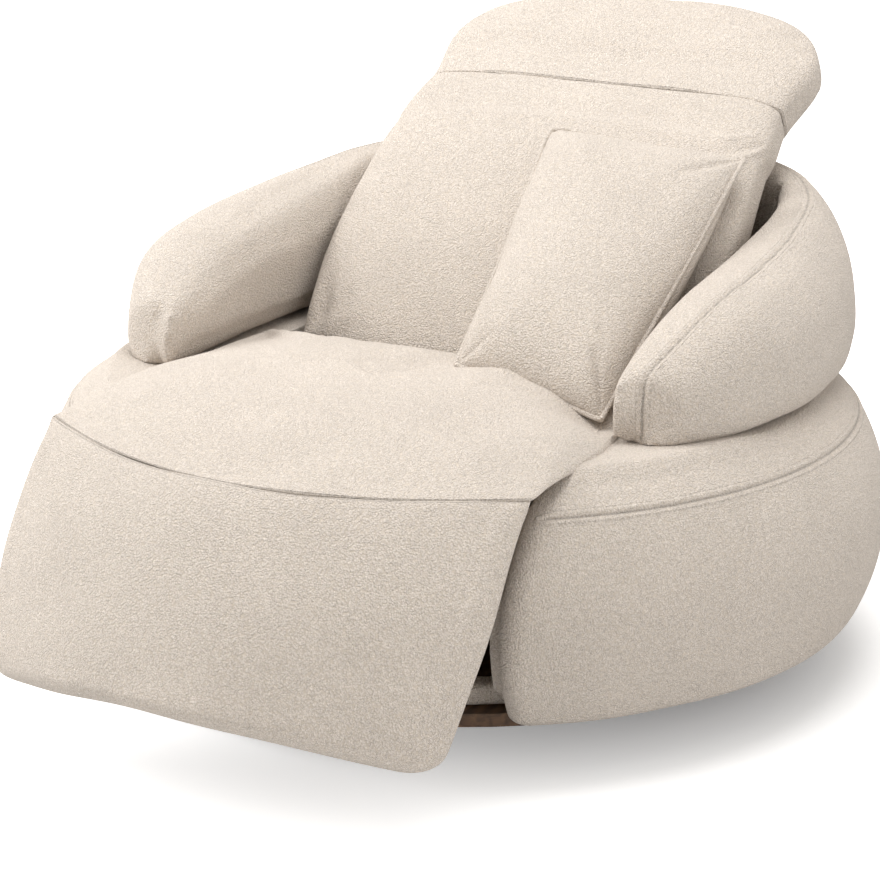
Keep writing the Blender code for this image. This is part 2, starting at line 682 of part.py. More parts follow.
def seat_springs():
    """Sinuous springs from the front rail to the rear rail, arched under the cushion."""
    start, end = SEAT_FRAME_FRONT + 0.012, SEAT_FRAME_REAR - 0.012
    bends = int((end - start) / SPRING_PITCH)
    base = SEAT_RAIL_TOP + FIT + SPRING_WIRE
    for n in range(SPRING_COUNT):
        centre = (n - (SPRING_COUNT - 1) / 2) * SPRING_SPACING
        data = bpy.data.curves.new(f"seat_spring_{n + 1}", "CURVE")
        data.dimensions = "3D"
        data.bevel_depth = SPRING_WIRE
        data.bevel_resolution = 1
        data.use_fill_caps = True
        line = data.splines.new("POLY")
        count = bends * 2
        line.points.add(count - 1)
        for i in range(count):
            share = i / (count - 1)
            y = start + (end - start) * share
            across = SPRING_LOOP * (1, -1)[((i + 1) // 2) % 2]
            z = base + SPRING_ARCH * math.sin(math.pi * share)
            line.points[i].co = (centre + across, y, z, 1)
        obj = bpy.data.objects.new(f"seat_spring_{n + 1}", data)
        obj.data.materials.append(material(obj.name, *FINISHES["spring_steel"]))
        bpy.context.scene.collection.objects.link(obj)


def face_half_width(v, depth):
    """Half-width of the footrest at v from its seam to its lower edge, drawn in behind its face."""
    half = SEAM_FRONT_HALF_WIDTH + (FOOTREST_LOWER_HALF_WIDTH - SEAM_FRONT_HALF_WIDTH) * v**2.2
    half += FOOTREST_SIDE_BULGE * math.sin(math.pi * v)
    return half - FOOTREST_SIDE_TAPER * max(0.0, depth) / FOOTREST_PAD_THICKNESS


def face_point(x_share, v, depth):
    """Point of the footrest: x_share is -1 to 1 across, v runs 0 at the seam to 1 at the lower edge,
    depth is measured inwards from the face."""
    crown = 1 - x_share**2
    y0 = SEAM_CORNER_Y - SEAM_SAGITTA * crown
    y1 = FOOTREST_LOWER_Y - FOOTREST_LOWER_SAGITTA * crown
    z1 = FOOTREST_LOWER_Z + FOOTREST_LOWER_RISE * crown
    lean = math.atan2(y0 - y1, SEAM_Z - z1)
    inward = depth - FOOTREST_BULGE * math.sin(math.pi * v)
    y = y0 + (y1 - y0) * v + inward * math.cos(lean)
    z = SEAM_Z + (z1 - SEAM_Z) * v - inward * math.sin(lean)
    return (face_half_width(v, depth) * x_share, y, z)


def face_at(x, v, depth):
    """Point of the footrest at a distance across from the middle."""
    return Vector(face_point(x / face_half_width(v, depth), v, depth))


def columns():
    """Shares of the half-width, from one edge to the other, at which the footrest's rings stand."""
    return [-share for share in reversed(COLUMN_SHARES)] + [0.0] + list(COLUMN_SHARES)


def edge_fullness(share):
    """Thickness of the padding as a share of its full thickness, drawn in at the sides."""
    edge = min(1.0, (1 - abs(share)) / 0.12)
    return 0.40 + 0.60 * math.sqrt(1 - (1 - edge) ** 2)


def lowest_v(share):
    """Lower end of the footrest's face in a column, with rounded corners."""
    corner = FOOTREST_CORNER / FOOTREST_LOWER_HALF_WIDTH
    into = max(0.0, (abs(share) - 1 + corner) / corner)
    drop = FOOTREST_CORNER / (SEAM_Z - FOOTREST_LOWER_Z)
    return 1 - 0.75 * drop * (1 - math.sqrt(max(0.0, 1 - into**2)))


def footrest_pad():
    """Rounded slab behind the footrest's face, from the knee down to the lower edge."""
    rings = []
    top = PAD_TOP
    for share in columns():
        thick = FOOTREST_PAD_THICKNESS * edge_fullness(share)
        mid = FOOTREST_PAD_THICKNESS * 0.60
        near, far = mid - 0.60 * thick, mid + 0.40 * thick
        low = lowest_v(share)
        reach = low - top
        ring = [face_point(share, top, near)]
        for part in (0.20, 0.40, 0.60, 0.80, 0.93):
            ring.append(face_point(share, top + reach * part, near))
        ring.append(face_point(share, low - 0.014, near + 0.18 * thick))
        ring.append(face_point(share, low, mid))
        ring.append(face_point(share, low - 0.014, far - 0.10 * thick))
        for part in reversed(PAD_REAR_PARTS):
            ring.append(face_point(share, top + reach * part, far))
        rings.append(ring)
    loft("footrest_pad", rings, "boucle")


def footrest_board():
    """Bent plywood board on the back of the footrest pad."""
    near = FOOTREST_PAD_THICKNESS + 2 * FIT
    far = near + FOOTREST_BOARD_THICKNESS
    heights = [PAD_TOP + (1 - PAD_TOP) * part for part in PAD_REAR_PARTS]
    rings = []
    for share in columns()[3:-3]:
        ring = [face_point(share, v, near) for v in heights]
        ring += [face_point(share, v, far) for v in reversed(heights)]
        rings.append(ring)
    loft("footrest_board", rings, "wood")


def knee():
    """Soft bend between the seat and the footrest, with the seam along its crest."""
    rings = []
    for share in columns():
        full = edge_fullness(share)
        thick = FOOTREST_PAD_THICKNESS * full
        mid = FOOTREST_PAD_THICKNESS * 0.60
        x = SEAM_FRONT_HALF_WIDTH * share
        rear = seam_y(x) + SEAT_SETBACK - FIT
        top_z = SEAM_Z + 0.004 + 0.004 * full
        lower = top_z - thick
        seam = seam_y(x)
        v = KNEE_FRACTION
        ring = [
            (x, rear, top_z),
            (x, rear * 0.5 + seam * 0.5, top_z - 0.001),
            (x, seam + 0.010, SEAM_Z + 0.003),
            (x, seam - 0.001, SEAM_Z - 0.004),
            face_point(share, v * 0.45, mid - 0.60 * thick),
            face_point(share, v, mid - 0.60 * thick),
            face_point(share, v, mid + 0.40 * thick),
            face_point(share, v * 0.55, mid + 0.40 * thick + 0.003),
            (x, rear * 0.55 + seam * 0.45 + 0.004, lower + 0.004),
            (x, rear, lower),
        ]
        rings.append(ring)
    loft("footrest_knee", rings, "boucle")


def yz(y, z, x):
    return (x, y, z)


def footrest_linkage():
    """Brackets on the seat rails, the pivot rod, the arms to the board and the slotted drive lever."""
    py, pz = FOOTREST_PIVOT
    reach = SEAM_FRONT_HALF_WIDTH - 0.060
    pin("footrest_pivot_rod", -reach, reach, py, pz, PIN_RADIUS)

    def bracket(side, label):
        x = side * (FOOTREST_ARM_X + 0.012)
        back = SEAT_FRAME_FRONT - FIT
        outline = [
            yz(back, pz - 0.020, x),
            yz(back, pz + 0.010, x),
            yz(py + 0.004, pz + 0.0105, x),
            yz(py - 0.008, pz + 0.008, x),
            yz(py - 0.011, pz, x),
            yz(py - 0.008, pz - 0.008, x),
            yz(py + 0.004, pz - 0.012, x),
        ]
        piece = extrusion("footrest_bracket_" + label, outline, (side, 0, 0), 0.005, "black_steel")
        cut(piece, pin("bracket_hole", x - 0.02, x + 0.02, py, pz, PIN_RADIUS + FIT))
        apply_modifiers(piece)

    def arm(side, label):
        x = side * FOOTREST_ARM_X
        outer = side * (FOOTREST_ARM_X + FOOTREST_ARM_THICKNESS)
        far = FOOTREST_PAD_THICKNESS + 3 * FIT + FOOTREST_BOARD_THICKNESS
        wide = 0.030
        top = face_at(outer, 0.34, far)
        middle = face_at(outer, 0.46, far)
        low = face_at(outer, 0.60, far)
        outline = [
            yz(py + 0.010, pz + 0.003, x),
            yz(py + 0.004, pz + 0.011, x),
            yz(py - 0.006, pz + 0.011, x),
            yz(top.y, top.z, x),
            yz(middle.y, middle.z, x),
            yz(low.y, low.z, x),
            yz(low.y + wide * 0.6, low.z + 0.004, x),
            yz(py + 0.008, pz - 0.012, x),
        ]
        thick = FOOTREST_ARM_THICKNESS
        piece = extrusion("footrest_arm_" + label, outline, (side, 0, 0), thick, "black_steel")
        cut(piece, pin("arm_hole", x - 0.02, x + 0.02, py, pz, PIN_RADIUS + RUN))
        apply_modifiers(piece)

    mirrored(bracket)
    mirrored(arm)
    drive_lever()


def drive_lever():
    """Central lever of the footrest, with a slot that the motor's pin runs in."""
    py, pz = FOOTREST_PIVOT
    turn = math.radians(LEVER_ANGLE)
    thick = LEVER_THICKNESS

    def spot(across, down):
        """Point in the lever's own frame: down along the slot, across towards the rear."""
        y = py + across * math.cos(turn) + down * math.sin(turn)
        z = pz + across * math.sin(turn) - down * math.cos(turn)
        return yz(y, z, -thick / 2)

    far = FOOTREST_PAD_THICKNESS + 4 * FIT + FOOTREST_BOARD_THICKNESS + 0.0008
    top = face_at(thick / 2, 0.40, far)
    low = face_at(thick / 2, 0.56, far)
    slot_top, slot_low = LEVER_REACH - 0.004, LEVER_REACH / math.cos(math.radians(38.0)) + 0.004
    half = PIN_RADIUS + LEVER_SLOT_CLEARANCE
    wall = 0.007
    outline = [
        spot(half + wall, 0.0),
        spot(0.008, -0.011),
        spot(-0.006, -0.011),
        yz(top.y, top.z, -thick / 2),
        yz(low.y, low.z, -thick / 2),
        spot(-half - wall, 0.034),
        spot(-half - wall, slot_low + half),
        spot(-half * 0.5, slot_low + half + wall),
        spot(half * 0.5, slot_low + half + wall),
        spot(half + wall, slot_low + half),
    ]
    piece = extrusion("footrest_drive_lever", outline, (1, 0, 0), thick, "black_steel")
    cut(piece, pin("lever_hole", -0.02, 0.02, py, pz, PIN_RADIUS + RUN))
    points = []
    for i in range(7):
        a = math.pi + math.pi * i / 6
        points.append(spot(half * math.cos(a), slot_low - half * math.sin(a)))
    for i in range(7):
        a = math.pi * i / 6
        points.append(spot(half * math.cos(a), slot_top - half * math.sin(a)))
    shift = Vector((-0.01, 0, 0))
    slot = extrusion("lever_slot", [Vector(p) + shift for p in points], (1, 0, 0), 0.03, "steel")
    cut(piece, slot)
    apply_modifiers(piece)


def side_plates():
    """Steel side plates on the deck, with the channels that the seat carriage slides in."""
    foot = 0.028

    def plate(side, label):
        x = side * SIDE_PLATE_X
        low = DRUM_BOTTOM
        front, rear = SIDE_PLATE_FRONT, SIDE_PLATE_REAR
        high = CHANNEL_TOP + 0.004
        outline = [
            yz(front + 0.050, low, x),
            yz(rear - 0.040, low, x),
            yz(rear - 0.020, low + 0.060, x),
            yz(rear, high - 0.050, x),
            yz(rear, high, x),
            yz(front, high, x),
            yz(front, high - 0.050, x),
            yz(front + 0.030, low + 0.060, x),
        ]
        thick = SIDE_PLATE_THICKNESS
        piece = extrusion("side_plate_" + label, outline, (side, 0, 0), thick, "black_steel")
        for y0, y1 in ((front + 0.115, -0.090), (-0.010, rear - 0.115)):
            z0, z1 = low + 0.038, high - 0.062
            window = [
                yz(y0, z0, x - side * 0.01),
                yz(y1, z0, x - side * 0.01),
                yz(y1 - 0.012, z1, x - side * 0.01),
                yz(y0 + 0.012, z1, x - side * 0.01),
            ]
            cut(piece, extrusion("plate_window", window, (side, 0, 0), 0.03, "steel"))
        x0, x1 = sorted((x - side * foot, x + side * 0.001))
        flange = box("plate_foot", (x0, front + 0.052, low), (x1, rear - 0.042, low + thick), "black_steel")
        add(piece, flange)
        add(piece, channel(side))
        apply_modifiers(piece)

    def channel(side):
        outer = SIDE_PLATE_X + 0.0005
        inner = SIDE_PLATE_X - CHANNEL_DEPTH
        g = CHANNEL_GAUGE
        z1 = CHANNEL_TOP
        z0 = z1 - CHANNEL_HEIGHT
        section = [
            (outer, z0),
            (outer, z1),
            (inner, z1),
            (inner, z1 - g),
            (outer - g, z1 - g),
            (outer - g, z0 + g),
            (inner, z0 + g),
            (inner, z0),
        ]
        outline = [(side * x, SIDE_PLATE_FRONT + 0.004, z) for x, z in section]
        length = SIDE_PLATE_REAR - SIDE_PLATE_FRONT - 0.008
        return extrusion("slide_channel", outline, (0, 1, 0), length, "steel")

    def runner(side, label):
        outer = SIDE_PLATE_X + 0.0005 - CHANNEL_GAUGE - RUN
        lip = SIDE_PLATE_X - CHANNEL_DEPTH - 0.002
        z0 = CHANNEL_TOP - CHANNEL_HEIGHT + CHANNEL_GAUGE + FIT
        z1 = CHANNEL_TOP - CHANNEL_GAUGE - RUN
        rail_low = SEAT_RAIL_TOP - SEAT_RAIL_HEIGHT - FIT
        web = lip - 0.016
        section = [(outer, z0), (outer, z1), (lip, z1), (lip, rail_low), (web, rail_low), (web, z0)]
        outline = [(side * x, -0.270, z) for x, z in section]
        extrusion("seat_runner_" + label, outline, (0, 1, 0), 0.400, "nylon")

    mirrored(plate)
    mirrored(runner)
    reach = SIDE_PLATE_X - FIT
    for label, y in CROSS_TUBE_YS.items():
        tube = pin("cross_tube_" + label, -reach, reach, y, CROSS_TUBE_Z, CROSS_TUBE_RADIUS)
        inner = CROSS_TUBE_RADIUS - CROSS_TUBE_WALL
        cut(tube, pin("tube_bore", -reach - 0.01, reach + 0.01, y, CROSS_TUBE_Z, inner))
        apply_modifiers(tube)


def motors():
    """Two linear motors: one on the deck for the footrest, one under the seat for the back."""
    z = FOOTREST_PIVOT[1] - LEVER_REACH
    front, rear = FOOTREST_MOTOR_FRONT, FOOTREST_MOTOR_REAR
    body = shaft("footrest_motor", 0.0, front, rear, z, MOTOR_RADIUS, "motor_plastic", 20)
    gearbox = box(
        "motor_gearbox",
        (-0.034, rear - 0.075, z - 0.060),
        (0.034, rear - 0.002, z + 0.020),
        "motor_plastic",
        bevel=0.006,
    )
    add(body, gearbox)
    foot = box(
        "motor_foot",
        (-0.045, rear - 0.060, DRUM_BOTTOM),
        (0.045, rear - 0.020, z - 0.050),
        "motor_plastic",
        bevel=0.003,
    )
    add(body, foot)
    cut(body, shaft("motor_bore", 0.0, front - 0.01, rear - 0.10, z, MOTOR_ROD_RADIUS + RUN))
    apply_modifiers(body)
    slot_y = FOOTREST_PIVOT[0] + LEVER_REACH * math.tan(math.radians(LEVER_ANGLE))
    fork("footrest_motor_rod", 0.0, slot_y, z, 1, front + 0.140)


def fork(name, x, pin_y, z, towards, end_y):
    """Motor rod ending in a fork whose pin runs in a lever's slot. towards: from the pin to the rod."""
    gap = LEVER_THICKNESS / 2 + 0.0015
    ear = 0.005
    half_height = 0.009
    nose = pin_y - towards * 0.010
    root = pin_y + towards * 0.040
    y0, y1 = sorted((nose, root))
    half = gap + ear
    low, high = z - half_height, z + half_height
    body = box(name, (x - half, y0, low), (x + half, y1, high), "steel", bevel=0.002)
    k0, k1 = sorted((nose - towards * 0.01, pin_y + towards * 0.031))
    cut(body, box("fork_gap", (x - gap, k0, z - 0.05), (x + gap, k1, z + 0.05), "steel"))
    add(body, shaft("fork_rod", x, root - towards * 0.004, end_y, z, MOTOR_ROD_RADIUS))
    add(body, pin("fork_pin", x - half - 0.003, x + half + 0.003, pin_y, z, PIN_RADIUS))
    apply_modifiers(body)


def recline_drive():
    """The back's motor under the seat, and the slotted lever that it pushes."""
    x = RECLINE_MOTOR_X
    py, pz = BACK_PIVOT
    z = pz - RECLINE_LEVER_REACH
    front, rear = RECLINE_MOTOR_FRONT, RECLINE_MOTOR_REAR
    body = shaft("recline_motor", x, front, rear, z, MOTOR_RADIUS, "motor_plastic", 20)
    gearbox = box(
        "motor_gearbox",
        (x - 0.030, front + 0.002, z - 0.055),
        (x + 0.030, front + 0.070, z + 0.024),
        "motor_plastic",
        bevel=0.006,
    )
    add(body, gearbox)
    hanger_top = SEAT_RAIL_TOP - SEAT_RAIL_HEIGHT - FIT
    hanger = box(
        "motor_hanger",
        (x - 0.019, SEAT_FRAME_FRONT + 0.004, z + 0.008),
        (x + 0.019, front + 0.055, hanger_top),
        "motor_plastic",
        bevel=0.001,
    )
    add(body, hanger)
    cut(body, shaft("motor_bore", x, front + 0.09, rear + 0.01, z, MOTOR_ROD_RADIUS + RUN))
    apply_modifiers(body)
    fork("recline_motor_rod", x, py, z, -1, rear - 0.100)


def back_frame_point(a):
    """Front surface of the back at arc length a: (y, z) and lean from the vertical in radians."""
    low, high = math.radians(BACK_LEAN_LOW), math.radians(BACK_LEAN_HIGH)
    rate = (high - low) / BACK_LENGTH
    lean = low + rate * a
    y = BACK_START[0] + (math.cos(low) - math.cos(lean)) / rate
    z = BACK_START[1] + (math.sin(lean) - math.sin(low)) / rate
    return y, z, lean


def slab_ring(y, z, lean, half_width, near, far, tilt=0.0, steps=24, squareness=3.6):
    """Rounded section across a slab: near and far are depths behind the front surface."""
    middle, half = (near + far) / 2, (far - near) / 2
    ring = []
    for i in range(steps):
        t = 2 * math.pi * (i + 0.5) / steps
        c, s = math.cos(t), math.sin(t)
        x = half_width * math.copysign(abs(c) ** (2 / squareness), c)
        depth = middle + half * math.copysign(abs(s) ** (2 / squareness), s)
        ring.append((x, y + depth * math.cos(lean - tilt), z - depth * math.sin(lean - tilt)))
    return ring


def back_half_width(a):
    """Half-width of the back: narrow at its foot between the hinge arms, fullest at mid height."""
    share = max(0.0, min(1.0, a / BACK_LENGTH))
    straight = BACK_HALF_WIDTH_LOW + (BACK_HALF_WIDTH_HIGH - BACK_HALF_WIDTH_LOW) * share
    narrowing = BACK_FOOT_NARROWING * smooth((BACK_STATIONS[0] - a) / (0.47 * BACK_STATIONS[0]))
    return straight + BACK_SIDE_BULGE * math.sin(math.pi * share) - narrowing


def pad_depth(a):
    """Thickness of the back's padding: full below, thinner towards the headrest."""
    thinning = smooth((a - BACK_THINNING_START) / (BACK_LENGTH - BACK_THINNING_START))
    return BACK_PAD_THICKNESS - (BACK_PAD_THICKNESS - BACK_TOP_THICKNESS) * thinning


def rear_depth(a):
    """Depth of the rear cover's outer face behind the front surface."""
    return pad_depth(a) + BACK_BOARD_THICKNESS + BACK_COVER_THICKNESS + 3 * FIT


def behind(a, depth, x=0.0):
    """Point at arc length a of the back and a depth behind its front surface."""
    y, z, lean = back_frame_point(a)
    return (x, y + depth * math.cos(lean), z - depth * math.sin(lean))


def back():
    """Padded front, plywood board and rear cover of the back, stacked along one curve."""
    rings = []
    foot = BACK_STATIONS[0]
    lengths = [(0.0, 0.45), (0.105 * foot, 0.74), (0.32 * foot, 0.93), (0.58 * foot, 1.0), (0.79 * foot, 1.0)]
    lengths += [(a, 1.0) for a in (*BACK_STATIONS, BACK_LENGTH - SEAM_GROOVE)]
    for a, full in lengths:
        y, z, lean = back_frame_point(a)
        half = pad_depth(a) / 2
        near, far = half - half * full, half + half * min(1.0, full + 0.04)
        rings.append(slab_ring(y, z, lean, back_half_width(a) * (0.90 + 0.10 * full), near, far))
    y, z, lean = back_frame_point(BACK_LENGTH - SEAM_RIDGE_GAP / 2)
    near, far = RATCHET_DEPTH - SEAM_RIDGE_HALF, RATCHET_DEPTH + SEAM_RIDGE_HALF
    rings.append(slab_ring(y, z, lean, back_half_width(BACK_LENGTH) * 0.98, near, far))
    pad = loft("back_cushion", rings, "boucle")
    for side in (1, -1):
        cut(pad, ratchet_pocket(side))
        apply_modifiers(pad)
    board = []
    for a in BACK_STATIONS:
        y, z, lean = back_frame_point(a)
        near = pad_depth(a) + FIT
        between_arms = BACK_ARM_X - BACK_ARM_THICKNESS - FIT
        half_width = between_arms if a <= BACK_EAR_TOP else BACK_BOARD_HALF_WIDTH
        board.append(plate_ring(y, z, lean, half_width, near, near + BACK_BOARD_THICKNESS))
    loft("back_board", board, "wood")
    cover = []
    for a in (BACK_STATIONS[0] - 0.012, *BACK_STATIONS[:-1]):
        y, z, lean = back_frame_point(a)
        near = rear_depth(a) - FIT - BACK_COVER_THICKNESS
        thick = BACK_COVER_THICKNESS * (1.0 if a in BACK_STATIONS[:-2] else 0.6)
        half_width = BACK_BOARD_HALF_WIDTH + 0.004
        cover.append(slab_ring(y, z, lean, half_width, near, near + thick, squareness=5.0, steps=16))
    loft("back_rear_cover", cover, "boucle")


def plate_ring(y, z, lean, half_width, near, far):
    ring = []
    for x, depth in ((-half_width, near), (half_width, near), (half_width, far), (-half_width, far)):
        ring.append((x, y + depth * math.cos(lean), z - depth * math.sin(lean)))
    return ring


def headrest_axis():
    """Axis of the headrest's hinge, just under the fabric at the seam."""
    y, z, lean = back_frame_point(BACK_LENGTH)
    return y + RATCHET_DEPTH * math.cos(lean), z - RATCHET_DEPTH * math.sin(lean)


def headrest_point(b):
    """Front surface of the headrest at length b above the seam: (y, z) and lean."""
    y0, z0, lean0 = back_frame_point(BACK_LENGTH)
    low, high = lean0, math.radians(HEADREST_LEAN_TOP)
    rate = (high - low) / HEADREST_LENGTH
    lean = low + rate * b
    y = y0 + (math.cos(low) - math.cos(lean)) / rate
    z = z0 + (math.sin(lean) - math.sin(low)) / rate
    return y, z, lean


def headrest_half_width(b):
    """Half-width of the headrest: straight sides that curve in to an arched top."""
    share = max(0.0, (b - HEADREST_ROUND_START) / (HEADREST_LENGTH - HEADREST_ROUND_START))
    flare = HEADREST_FLARE * min(1.0, b / 0.110)
    return (BACK_HALF_WIDTH_HIGH + flare) * (1 - share**2.6) ** 0.385


def headrest():
    rings = []
    total = BACK_TOP_THICKNESS
    half = total / 2
    y, z, lean = headrest_point(SEAM_RIDGE_GAP / 2)
    near, far = RATCHET_DEPTH - SEAM_RIDGE_HALF, RATCHET_DEPTH + SEAM_RIDGE_HALF
    rings.append(slab_ring(y, z, lean, BACK_HALF_WIDTH_HIGH * 0.98, near, far))
    lengths = [(SEAM_GROOVE, 1.0), (0.045, 1.0), (0.090, 1.0), (0.125, 1.0), (0.152, 0.96), (0.175, 0.88)]
    lengths += [(0.193, 0.76), (0.206, 0.58), (0.213, 0.36)]
    for b, full in lengths:
        y, z, lean = headrest_point(b)
        near, far = half - half * full, half + half * full
        rings.append(slab_ring(y, z, lean, headrest_half_width(b), near, far))
    pad = loft("headrest_cushion", rings, "boucle")
    for side in (1, -1):
        cut(pad, ratchet_pocket(side))
        apply_modifiers(pad)
    board = []
    near = total + FIT
    for b in (0.022, 0.045, 0.090, 0.125):
        y, z, lean = headrest_point(b)
        board.append(plate_ring(y, z, lean, BACK_BOARD_HALF_WIDTH, near, near + BACK_BOARD_THICKNESS))
    loft("headrest_board", board, "wood")


def ratchet_pocket(side):
    """Space in the pads for a ratchet's plates, round its axis and open at the rear."""
    y, z, lean = back_frame_point(BACK_LENGTH)
    x0 = side * RATCHET_X - 0.0085
    front = RATCHET_DEPTH - RATCHET_RADIUS - 0.003
    outline = []
    for along, depth in ((-0.088, front), (0.088, front), (0.088, 0.110), (-0.088, 0.110)):
        across = math.sin(lean) * along + math.cos(lean) * depth
        outline.append((x0, y + across, z + math.cos(lean) * along - math.sin(lean) * depth))
    return extrusion("ratchet_pocket", outline, (1, 0, 0), 0.017, "steel")


def ratchets():
    """Pairs of plates that pivot on a pin: one on the back's board, one on the headrest's board."""
    y, z = headrest_axis()
    lean = back_frame_point(BACK_LENGTH)[2]

    def spot(along, depth):
        """Point beside the axis: along the back's slope and away from the front."""
        across = math.sin(lean) * along + math.cos(lean) * depth
        return (0.0, y + across, z + math.cos(lean) * along - math.sin(lean) * depth)

    def on_headrest(b, depth):
        py, pz, slope = headrest_point(b)
        return (0.0, py + depth * math.cos(slope), pz - depth * math.sin(slope))

    def plates(side, label):
        middle = side * RATCHET_X
        rim = []
        for t in np.linspace(-1.5, 1.5, 7):
            rim.append(spot(RATCHET_RADIUS * math.sin(t), -RATCHET_RADIUS * math.cos(t)))
        upper, lower = BACK_LENGTH - 0.052, BACK_STATIONS[-2]
        full, thin = pad_depth(upper), BACK_TOP_THICKNESS
        low = pad_depth(lower)
        foot = [(upper, full), (lower, low), (lower, low - 0.010), (upper, full - 0.026)]
        base_outline = rim + [spot(0.005, 0.012), *(behind(a, depth) for a, depth in foot)]
        foot = [(0.038, thin - 0.026), (0.070, thin - 0.010), (0.070, thin), (0.038, thin)]
        arm_outline = rim + [*(on_headrest(b, depth) for b, depth in foot), spot(-0.005, 0.012)]
        base_at, arm_at = middle - 0.0005 - RATCHET_PLATE, middle + 0.0005
        outline = [(base_at, p[1], p[2]) for p in base_outline]
        base = extrusion("headrest_ratchet_base_" + label, outline, (1, 0, 0), RATCHET_PLATE, "steel")
        add(base, pin("ratchet_pin", middle - 0.003, middle + 0.006, y, z, RATCHET_PIN, sides=12))
        apply_modifiers(base)
        outline = [(arm_at, p[1], p[2]) for p in arm_outline]
        piece = extrusion("headrest_ratchet_arm_" + label, outline, (1, 0, 0), RATCHET_PLATE, "steel")
        cut(piece, pin("ratchet_hole", arm_at - 0.01, arm_at + 0.02, y, z, RATCHET_PIN + RUN, sides=12))
        apply_modifiers(piece)

    mirrored(plates)


def back_hinge():
    """Brackets on the seat rails, pins, side arms of the back board and the recline lever."""
    py, pz = BACK_PIVOT

    def bracket(side, label):
        x = side * (SEAT_FRAME_HALF_WIDTH + FIT)
        low = SEAT_RAIL_TOP - SEAT_RAIL_HEIGHT + 0.001
        outline = [
            yz(SEAT_FRAME_REAR - 0.090, low, x),
            yz(py - 0.030, low, x),
            yz(py + 0.006, pz - 0.011, x),
            yz(py + 0.012, pz, x),
            yz(py + 0.006, pz + 0.010, x),
            yz(py - 0.006, pz + 0.011, x),
            yz(py - 0.040, SEAT_RAIL_TOP, x),
            yz(SEAT_FRAME_REAR - 0.090, SEAT_RAIL_TOP, x),
        ]
        piece = extrusion("back_bracket_" + label, outline, (side, 0, 0), 0.005, "black_steel")
        add(piece, pin("back_pin", x - side * 0.009, x + side * 0.004, py, pz, PIN_RADIUS))
        apply_modifiers(piece)

    def arm(side, label):
        x = side * BACK_ARM_X

        low, top = BACK_STATIONS[0] + 0.005, BACK_EAR_TOP - 0.005

        def on_edge(a):
            return behind(a, pad_depth(a) + 0.001, x)

        outline = [
            yz(py - 0.008, pz - 0.007, x),
            yz(py + 0.005, pz - 0.010, x),
            yz(py + 0.013, pz - 0.003, x),
            behind(0.196 * BACK_LENGTH, rear_depth(0.196 * BACK_LENGTH) + 0.022, x),
            behind(top, rear_depth(top) - 0.004, x),
            on_edge(top),
            on_edge(0.5 * (low + top)),
            on_edge(low),
            behind(0.143 * BACK_LENGTH, rear_depth(0.143 * BACK_LENGTH) - 0.012, x),
            yz(py - 0.010, pz + 0.006, x),
        ]
        thick = BACK_ARM_THICKNESS
        piece = extrusion("back_arm_" + label, outline, (-side, 0, 0), thick, "black_steel")
        cut(piece, pin("arm_hole", x - 0.02, x + 0.02, py, pz, PIN_RADIUS + RUN))
        apply_modifiers(piece)

    mirrored(bracket)
    mirrored(arm)
    recline_lever()


def recline_lever():
    """Lever under the back's board, with a slot that the recline motor's pin runs in."""
    py, pz = BACK_PIVOT
    thick = LEVER_THICKNESS
    x = RECLINE_MOTOR_X - thick / 2
    half = PIN_RADIUS + LEVER_SLOT_CLEARANCE
    wall = 0.007
    slot_top, slot_low = RECLINE_LEVER_REACH - 0.004, RECLINE_LEVER_REACH + 0.006
    low, top = BACK_STATIONS[0], 0.3125 * BACK_LENGTH
    outline = [
        yz(py - half - wall, pz - slot_low, x),
        yz(py, pz - slot_low - half - wall, x),
        yz(py + half + wall, pz - slot_low, x),
        yz(py + half + wall, pz - 0.030, x),
        behind(0.196 * BACK_LENGTH, rear_depth(0.196 * BACK_LENGTH) + 0.024, x),
        behind(top, rear_depth(top) + 0.010, x),
        behind(top, rear_depth(top) + FIT, x),
        behind(0.5 * (low + top), rear_depth(0.5 * (low + top)) + FIT, x),
        behind(low, rear_depth(low) + FIT, x),
        yz(py - half - wall, pz - 0.045, x),
    ]
    piece = extrusion("recline_lever", outline, (1, 0, 0), thick, "black_steel")
    points = []
    for i in range(7):
        a = math.pi * i / 6
        points.append(yz(py + half * math.cos(a), pz - slot_top + half * math.sin(a), x - 0.01))
    for i in range(7):
        a = math.pi + math.pi * i / 6
        points.append(yz(py + half * math.cos(a), pz - slot_low + half * math.sin(a), x - 0.01))
    cut(piece, extrusion("lever_slot", points, (1, 0, 0), 0.03, "steel"))
    apply_modifiers(piece)


def pillow_matrix():
    """Pillow frame: X along its lower edge, Y up its face, Z out of its front."""
    lean = math.radians(PILLOW_LEAN)
    turn = Matrix.Rotation(math.radians(PILLOW_TURN), 4, "Z")
    tip = Matrix.Rotation(math.pi / 2 - lean, 4, "X")
    roll = Matrix.Rotation(math.radians(PILLOW_ROLL), 4, "Z")
    return Matrix.Translation(PILLOW_FOOT) @ turn @ tip @ roll


